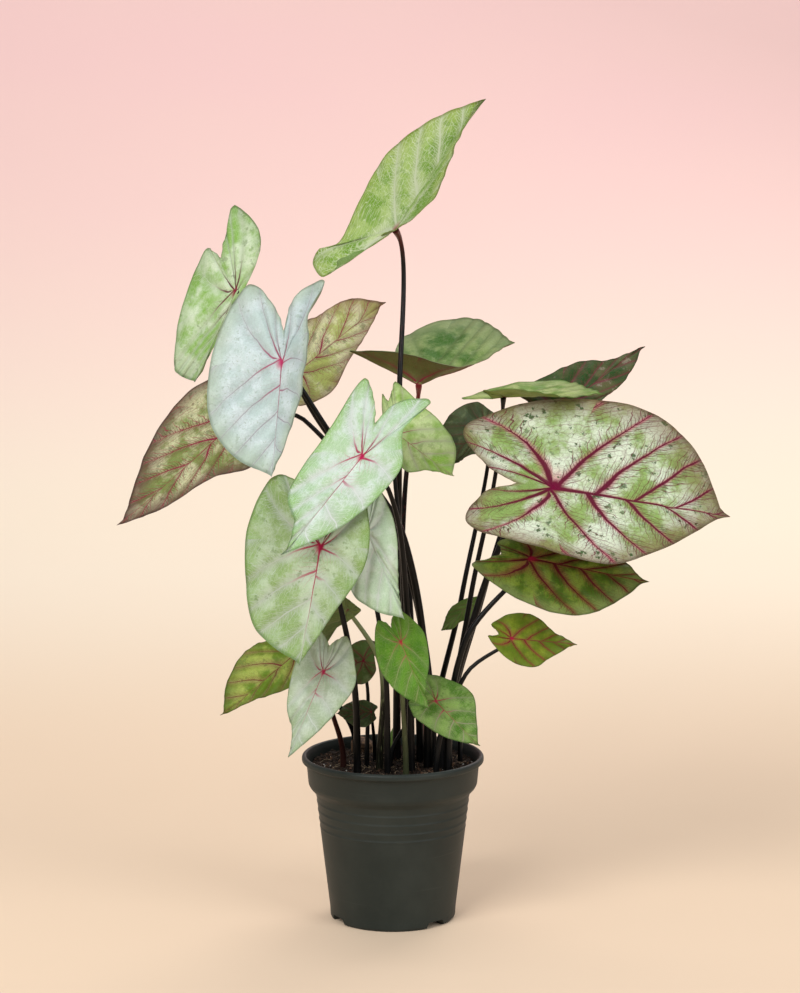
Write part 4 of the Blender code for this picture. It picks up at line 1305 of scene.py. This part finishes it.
add_leaf(
    "tiny_dark", "leaf_dark", order=13,
    leaf=dict(
        attach=(-16, -20, 165), turn=0, lean=35, apex=(-26, -1), right=(-15, 7),
        right_lobe=(4, 4), sinus=(2, 0), left_lobe=(3, -5), left=(-14, -9),
        bulges=(0.12, 0.13, 0.04, 0.04, 0.18, 0.03), foot=(-14, 8), thick=1.8, via=[]),
    upper=dict(
        body=(0.035, 0.075, 0.022), second=(0.09, 0.16, 0.05), vein=(0.2, 0.05, 0.05),
        glow=(0.1, 0.12, 0.05), star=(0.3, 0.03, 0.05), border=(0.12, 0.17, 0.07), mottle=0.6,
        width=0.02, spread=0.09, glowing=0.4, flecks=0.3),
    under=dict(
        body=(0.05, 0.08, 0.03), second=(0.08, 0.12, 0.04), vein=(0.2, 0.04, 0.05),
        glow=(0.08, 0.08, 0.04), star=(0.25, 0.03, 0.05), border=(0.06, 0.08, 0.03)))


# Young green leaf
# A young leaf at the front, saturated green with a pinkish midrib and a red star.

young_green_skin = stalk_finish(
    "olive_stalk_skin", (0.035, 0.04, 0.018), (0.10, 0.12, 0.05), (0.12, 0.22))
add_leaf(
    "young_green", "leaf_young", order=14,
    leaf=dict(
        attach=(6, -72, 230), turn=8, lean=14, apex=(20, -48), right=(-13, -24),
        right_lobe=(-18, 14), sinus=(-7, 10), left_lobe=(1, 22), left=(21, -16),
        bulges=(0.09, 0.09, 0.2, 0.25, 0.16, -0.06), foot=(10, -39), thick=2.4,
        via=[(7, -52, 189)]),
    upper=dict(
        body=(0.065, 0.21, 0.008), second=(0.155, 0.36, 0.028), vein=(0.46, 0.16, 0.1),
        far_vein=(0.4, 0.44, 0.2), glow=(0.2, 0.38, 0.06), star=(0.55, 0.03, 0.05),
        border=(0.15, 0.3, 0.05), mottle=0.6, width=0.016, spread=0.08, glowing=0.5,
        feathering=0.3, flecks=0.3, fleck=(0.08, 0.18, 0.02), bordering=0.4),
    under=dict(
        body=(0.12, 0.22, 0.05), second=(0.17, 0.29, 0.07), vein=(0.34, 0.22, 0.14),
        glow=(0.2, 0.3, 0.1), star=(0.4, 0.04, 0.06), border=(0.12, 0.22, 0.05)),
    skin=young_green_skin)


# Low green leaf
# The lowest leaf at the front right, green with pinkish veins.

add_leaf(
    "low_green", "leaf_dark", order=15,
    leaf=dict(
        attach=(32, -48, 180), turn=8, lean=26, apex=(32, -32), right=(-13, -13),
        right_lobe=(-20, 0), sinus=(-8, 3), left_lobe=(-6, 18), left=(28, 4),
        bulges=(0.08, 0.11, 0.03, 0.11, 0.08, 0.03), foot=(-2, -12), thick=2.2,
        via=[(17, -14, 162)]),
    upper=dict(
        body=(0.07, 0.21, 0.012), second=(0.36, 0.56, 0.15), vein=(0.45, 0.06, 0.08),
        far_vein=(0.42, 0.4, 0.26), glow=(0.26, 0.42, 0.12), star=(0.5, 0.04, 0.08),
        border=(0.1, 0.2, 0.04), mottle=0.7, width=0.018, spread=0.09, glowing=0.5,
        feathering=0.35, flecks=0.4, fleck=(0.06, 0.14, 0.02), bordering=0.4),
    under=dict(
        body=(0.1, 0.18, 0.05), second=(0.15, 0.25, 0.07), vein=(0.3, 0.18, 0.12),
        glow=(0.17, 0.25, 0.09), star=(0.35, 0.04, 0.06), border=(0.1, 0.17, 0.04)))


# Big right leaf
# The largest leaf, held almost flat at the right: pale green flecked with dark green,
# strong crimson veins that feather out into it, and a pinkish-brown margin.

add_leaf(
    "big_right", "leaf_crimson", order=16,
    leaf=dict(
        attach=(118, -70, 345), turn=4, lean=35, apex=(125, -20), right=(40, -51),
        right_lobe=(-63, -24), sinus=(-26, 3), left_lobe=(-63, 43), left=(67, 54),
        bulges=(0.05, 0.02, 0.22, 0.15, 0.09, 0.14), foot=(38, -15), thick=3.6,
        via=[(65, -16, 248), (95, -36, 323)]),
    upper=dict(
        body=(0.3, 0.46, 0.13), second=(0.84, 0.92, 0.76), vein=(0.15, 0.003, 0.03),
        feather=(0.13, 0.02, 0.03), glow=(0.6, 0.1, 0.18), star=(0.2, 0.0, 0.04),
        border=(0.24, 0.17, 0.09), mottle=0.9, mottle_scale=34.0, width=0.027, spread=0.05,
        glowing=0.8, feathering=0.65, netting=0.3, flecks=0.9, fleck=(0.03, 0.09, 0.015),
        bordering=0.7),
    under=dict(
        body=(0.2, 0.24, 0.1), second=(0.3, 0.33, 0.17), vein=(0.32, 0.03, 0.07),
        glow=(0.34, 0.18, 0.16), star=(0.35, 0.02, 0.06), border=(0.18, 0.15, 0.09)))


# Pink right leaf
# A leaf above the big one that reaches up to the right, dark green mottled with pink
# and white, with a red midrib.

add_leaf(
    "pink_right", "leaf_pink", order=17,
    leaf=dict(
        attach=(124, 15, 390), turn=8, lean=48, apex=(70, 45), right=(43, 12),
        right_lobe=(-12, -2), sinus=(-12, 2), left_lobe=(-28, 15), left=(21, 35),
        bulges=(0.08, -0.1, 0.04, 0.04, 0.02, -0.08), foot=(41, 10), thick=2.8,
        via=[(70, 8, 254), (100, 16, 346)]),
    upper=dict(
        body=(0.022, 0.08, 0.014), second=(0.17, 0.17, 0.07), vein=(0.24, 0.015, 0.05),
        glow=(0.22, 0.07, 0.06), star=(0.4, 0.02, 0.06), border=(0.05, 0.1, 0.03), mottle=0.7,
        mottle_scale=42.0, width=0.018, spread=0.08, glowing=0.6, feathering=0.3, flecks=0.5,
        fleck=(0.42, 0.36, 0.28), bordering=0.4),
    under=dict(
        body=(0.1, 0.1, 0.04), second=(0.18, 0.12, 0.07), vein=(0.3, 0.03, 0.05),
        glow=(0.2, 0.08, 0.06), star=(0.35, 0.02, 0.05), border=(0.08, 0.09, 0.03)))


# Edge-on right leaf
# A leaf seen almost edge on above the big one: cream and green above, yellow-green
# below.

add_leaf(
    "edge_right", "leaf_young", order=18,
    leaf=dict(
        attach=(83, -20, 406), turn=0, lean=45, apex=(73, 4, -10), right=(26, 8, -46),
        right_lobe=(-15, 8, -34), sinus=(-8, -1), left_lobe=(-30, -1, 8), left=(50, 6, 48),
        bulges=(-0.06, 0.02, 0.0, 0.0, 0.05, 0.03), foot=(43, -2), thick=2.6,
        via=[(59, -4, 249), (77, -10, 342)]),
    upper=dict(
        body=(0.12, 0.26, 0.015), second=(0.56, 0.62, 0.26), vein=(0.26, 0.36, 0.06),
        glow=(0.34, 0.44, 0.18), star=(0.35, 0.06, 0.06), border=(0.16, 0.28, 0.06), mottle=0.75,
        mottle_scale=50.0, width=0.014, spread=0.09, glowing=0.4, flecks=0.4,
        fleck=(0.1, 0.2, 0.04)),
    under=dict(
        body=(0.26, 0.36, 0.08), second=(0.36, 0.45, 0.14), vein=(0.42, 0.5, 0.22),
        glow=(0.36, 0.45, 0.15), star=(0.35, 0.08, 0.06), border=(0.2, 0.3, 0.06)))


# Middle right leaf
# A leaf in the shade of the big one, deep green and brown with glowing red veins.

add_leaf(
    "right_mid", "leaf_crimson", order=19,
    leaf=dict(
        attach=(103, -45, 288), turn=0, lean=30, apex=(85, -16), right=(30, -39),
        right_lobe=(-43, -6), sinus=(-22, 3), left_lobe=(-22, 12), left=(52, 10),
        bulges=(0.09, 0.08, 0.04, 0.04, 0.12, 0.04), foot=(42, -27), thick=3.0,
        via=[(55, -32, 223)]),
    upper=dict(
        body=(0.07, 0.14, 0.008), second=(0.3, 0.4, 0.05), vein=(0.13, 0.004, 0.012),
        feather=(0.035, 0.02, 0.008), glow=(0.3, 0.05, 0.04), star=(0.42, 0.01, 0.05),
        border=(0.22, 0.28, 0.09), mottle=0.6, width=0.026, spread=0.1, glowing=0.65,
        feathering=0.45, flecks=0.35, fleck=(0.16, 0.24, 0.06), bordering=0.7),
    under=dict(
        body=(0.09, 0.11, 0.03), second=(0.15, 0.17, 0.06), vein=(0.28, 0.02, 0.04),
        glow=(0.2, 0.07, 0.05), star=(0.35, 0.02, 0.05), border=(0.12, 0.15, 0.05)))


# Small right leaf
# A small leaf on a thin arched stalk at the right, green and brown with a red midrib.

add_leaf(
    "right_small", "leaf_young", order=20,
    leaf=dict(
        attach=(89, -40, 226), turn=8, lean=30, apex=(48, -5), right=(16, -20),
        right_lobe=(-17, 1), sinus=(-9, 3), left_lobe=(-14, 11), left=(19, 15),
        bulges=(0.0, 0.13, 0.04, 0.04, 0.13, -0.05), foot=(33, -35), thick=2.4,
        via=[(55, -34, 197)]),
    upper=dict(
        body=(0.12, 0.2, 0.008), second=(0.3, 0.38, 0.03), vein=(0.26, 0.008, 0.03),
        feather=(0.07, 0.04, 0.01), glow=(0.32, 0.08, 0.04), star=(0.5, 0.01, 0.06),
        border=(0.16, 0.24, 0.03), mottle=0.65, width=0.02, spread=0.09, glowing=0.65,
        feathering=0.35, flecks=0.35, fleck=(0.1, 0.15, 0.03), bordering=0.6),
    under=dict(
        body=(0.13, 0.16, 0.05), second=(0.2, 0.22, 0.08), vein=(0.3, 0.03, 0.05),
        glow=(0.22, 0.1, 0.06), star=(0.35, 0.02, 0.05), border=(0.12, 0.16, 0.04)))


# Dark back leaf
# A leaf in shade behind the stalks, dark grey-green.

add_leaf(
    "dark_back", "leaf_dark", order=21,
    leaf=dict(
        attach=(73, 35, 377), turn=-10, lean=30, apex=(-40, -29), right=(-35, -1),
        right_lobe=(-9, 18), sinus=(9, 7), left_lobe=(20, -2), left=(-14, -21),
        bulges=(0.14, 0.13, 0.04, 0.04, 0.16, 0.1), foot=(30, 24), thick=2.6,
        via=[(53, 34, 243)]),
    upper=dict(
        body=(0.05, 0.085, 0.035), second=(0.12, 0.17, 0.07), vein=(0.16, 0.05, 0.04),
        glow=(0.1, 0.13, 0.06), star=(0.25, 0.03, 0.04), border=(0.07, 0.1, 0.04), mottle=0.6,
        width=0.016, spread=0.08, glowing=0.4, flecks=0.35, fleck=(0.2, 0.26, 0.12)),
    under=dict(
        body=(0.05, 0.08, 0.03), second=(0.09, 0.12, 0.05), vein=(0.14, 0.05, 0.04),
        glow=(0.09, 0.1, 0.05), star=(0.2, 0.03, 0.04), border=(0.06, 0.08, 0.03)))


# Leaf beside the right stalks
# A small green leaf that leans out beside the bundle of right-hand stalks.

add_leaf(
    "stalk_side", "leaf_young", order=22,
    leaf=dict(
        attach=(60, 25, 240), turn=-15, lean=30, apex=(-22, -19), right=(-15, -3),
        right_lobe=(6, 6), sinus=(4, 2), left_lobe=(6, -5), left=(-8, -13),
        bulges=(0.05, 0.08, 0.04, 0.04, 0.08, 0.13), foot=(52, 4), thick=2.0,
        via=[(51, 19, 198)]),
    upper=dict(
        body=(0.13, 0.24, 0.04), second=(0.24, 0.36, 0.09), vein=(0.3, 0.24, 0.1),
        glow=(0.22, 0.34, 0.09), star=(0.35, 0.05, 0.05), border=(0.12, 0.22, 0.04), mottle=0.6,
        width=0.018, spread=0.09, glowing=0.4, flecks=0.3, fleck=(0.08, 0.16, 0.02)),
    under=dict(
        body=(0.12, 0.2, 0.05), second=(0.18, 0.27, 0.07), vein=(0.25, 0.2, 0.09),
        glow=(0.18, 0.26, 0.08), star=(0.3, 0.05, 0.05), border=(0.1, 0.18, 0.04)))


# Folded olive leaf
# A folded leaf among the stalks that shows its olive underside, on a thick pale stalk.

olive_low_skin = stalk_finish(
    "pale_stalk_skin", (0.010, 0.010, 0.006), (0.28, 0.33, 0.16), (0.17, 0.215))
add_leaf(
    "olive_low", "leaf_olive", order=23,
    leaf=dict(
        attach=(-33, -45, 249), turn=0, lean=20, apex=(-25, -37), right=(-30, -9, -3),
        right_lobe=(-6, 10), sinus=(3, 5), left_lobe=(9, -1), left=(-10, -14, 3),
        bulges=(0.13, 0.11, 0.06, 0.06, 0.04, 0.13), foot=(-10, -24), thick=3.0,
        via=[(-9, -36, 205)]),
    upper=dict(
        body=(0.2, 0.26, 0.08), second=(0.3, 0.36, 0.13), vein=(0.36, 0.38, 0.18),
        glow=(0.28, 0.34, 0.12), star=(0.3, 0.12, 0.08), border=(0.16, 0.22, 0.06), mottle=0.6,
        width=0.016, spread=0.09, glowing=0.4, flecks=0.3, fleck=(0.1, 0.14, 0.03)),
    under=dict(
        body=(0.18, 0.22, 0.07), second=(0.25, 0.29, 0.1), vein=(0.3, 0.32, 0.15),
        glow=(0.24, 0.28, 0.1), star=(0.25, 0.1, 0.07), border=(0.14, 0.18, 0.05)),
    skin=olive_low_skin)


# Camera and studio
# The plant stands on a pale sweep of paper under a big soft light from the front, seen from
# a little above as in the photograph. None of it is part of the plant.

CAMERA_PLACE = (0.0055, -2.255, 0.665)
CAMERA_DIP = 8.5
SENSOR_WIDTH = 36.0
FOCAL_SHARE = 3000 / 993
SWEEP_HALF_WIDTH = 6.0
SWEEP_START = 1.6
SWEEP_REACH = 3.0
SWEEP_TOP = 5.0
SWEEP_STEPS = 24

camera = new_object("camera", bpy.data.cameras.new("camera"))
camera.location = CAMERA_PLACE
camera.rotation_euler = (math.radians(90 - CAMERA_DIP), 0.0, 0.0)
camera.data.sensor_width = SENSOR_WIDTH
camera.data.lens = FOCAL_SHARE * SENSOR_WIDTH
bpy.context.scene.camera = camera


def sweep_finish():
    """Plain paper, buff in front, cream behind the plant and rosier further off."""
    material, tree, shader, place = new_finish("sweep_paper", specular=0.1)
    distance = place.split()["Y"]
    colour = distance.ramp(0.4, 1.6).blend((0.79, 0.62, 0.455), (0.84, 0.74, 0.595))
    colour = distance.ramp(1.8, 3.5).blend(colour, (0.82, 0.56, 0.54))
    grain = place.noise(2.0, 2.0).ramp(0.3, 0.7, 0.0, 0.1)
    dress(tree, shader, grain.blend(colour, (0.84, 0.67, 0.53)), 0.9)
    return material


def make_sweep():
    """A floor that curves up into a backdrop, well clear of the plant on every side."""
    profile = [(-SWEEP_HALF_WIDTH, 0.0), (SWEEP_START, 0.0)]
    for step in range(1, SWEEP_STEPS + 1):
        turn = math.radians(90 * step / SWEEP_STEPS)
        rise = SWEEP_REACH - SWEEP_REACH * math.cos(turn)
        profile.append((SWEEP_START + SWEEP_REACH * math.sin(turn), rise))
    profile.append((SWEEP_START + SWEEP_REACH, SWEEP_TOP))
    points = [(x, y, z) for y, z in profile for x in (-SWEEP_HALF_WIDTH, SWEEP_HALF_WIDTH)]
    faces = [(i, i + 1, i + 3, i + 2) for i in range(0, len(points) - 2, 2)]
    return smooth_piece("sweep", points, faces, sweep_finish())


def add_softbox(name, watts, place, aim, size, colour):
    lamp = bpy.data.lights.new(name, "AREA")
    lamp.shape = "RECTANGLE"
    lamp.size, lamp.size_y = size
    lamp.energy = watts
    lamp.color = colour
    obj = new_object(name, lamp)
    obj.location = place
    obj.rotation_euler = (Vector(aim) - Vector(place)).to_track_quat("-Z", "Y").to_euler()


make_sweep()
add_softbox(
    "key_light", 60.0, place=(-1.2, -2.0, 2.0), aim=(0.0, 0.0, 0.25), size=(1.6, 1.6),
    colour=(1.0, 0.99, 0.98))
add_softbox(
    "fill_light", 26.0, place=(1.8, -1.6, 1.3), aim=(0.0, 0.0, 0.25), size=(1.4, 1.8),
    colour=(0.97, 0.98, 1.0))
add_softbox(
    "backdrop_light", 68.0, place=(0.0, 1.9, 3.4), aim=(0.0, 3.5, 0.6), size=(4.0, 1.0),
    colour=(1.0, 0.99, 0.98))
add_softbox(
    "back_light", 20.0, place=(1.2, 2.3, 2.0), aim=(0.0, 0.0, 0.35), size=(1.6, 1.4),
    colour=(1.0, 0.98, 0.96))
world = bpy.data.worlds.new("studio")
world.use_nodes = True
world.node_tree.nodes["Background"].inputs["Color"].default_value = (0.94, 0.97, 1.0, 1.0)
world.node_tree.nodes["Background"].inputs["Strength"].default_value = 0.33
bpy.context.scene.world = world
bpy.context.scene.view_settings.view_transform = "Standard"
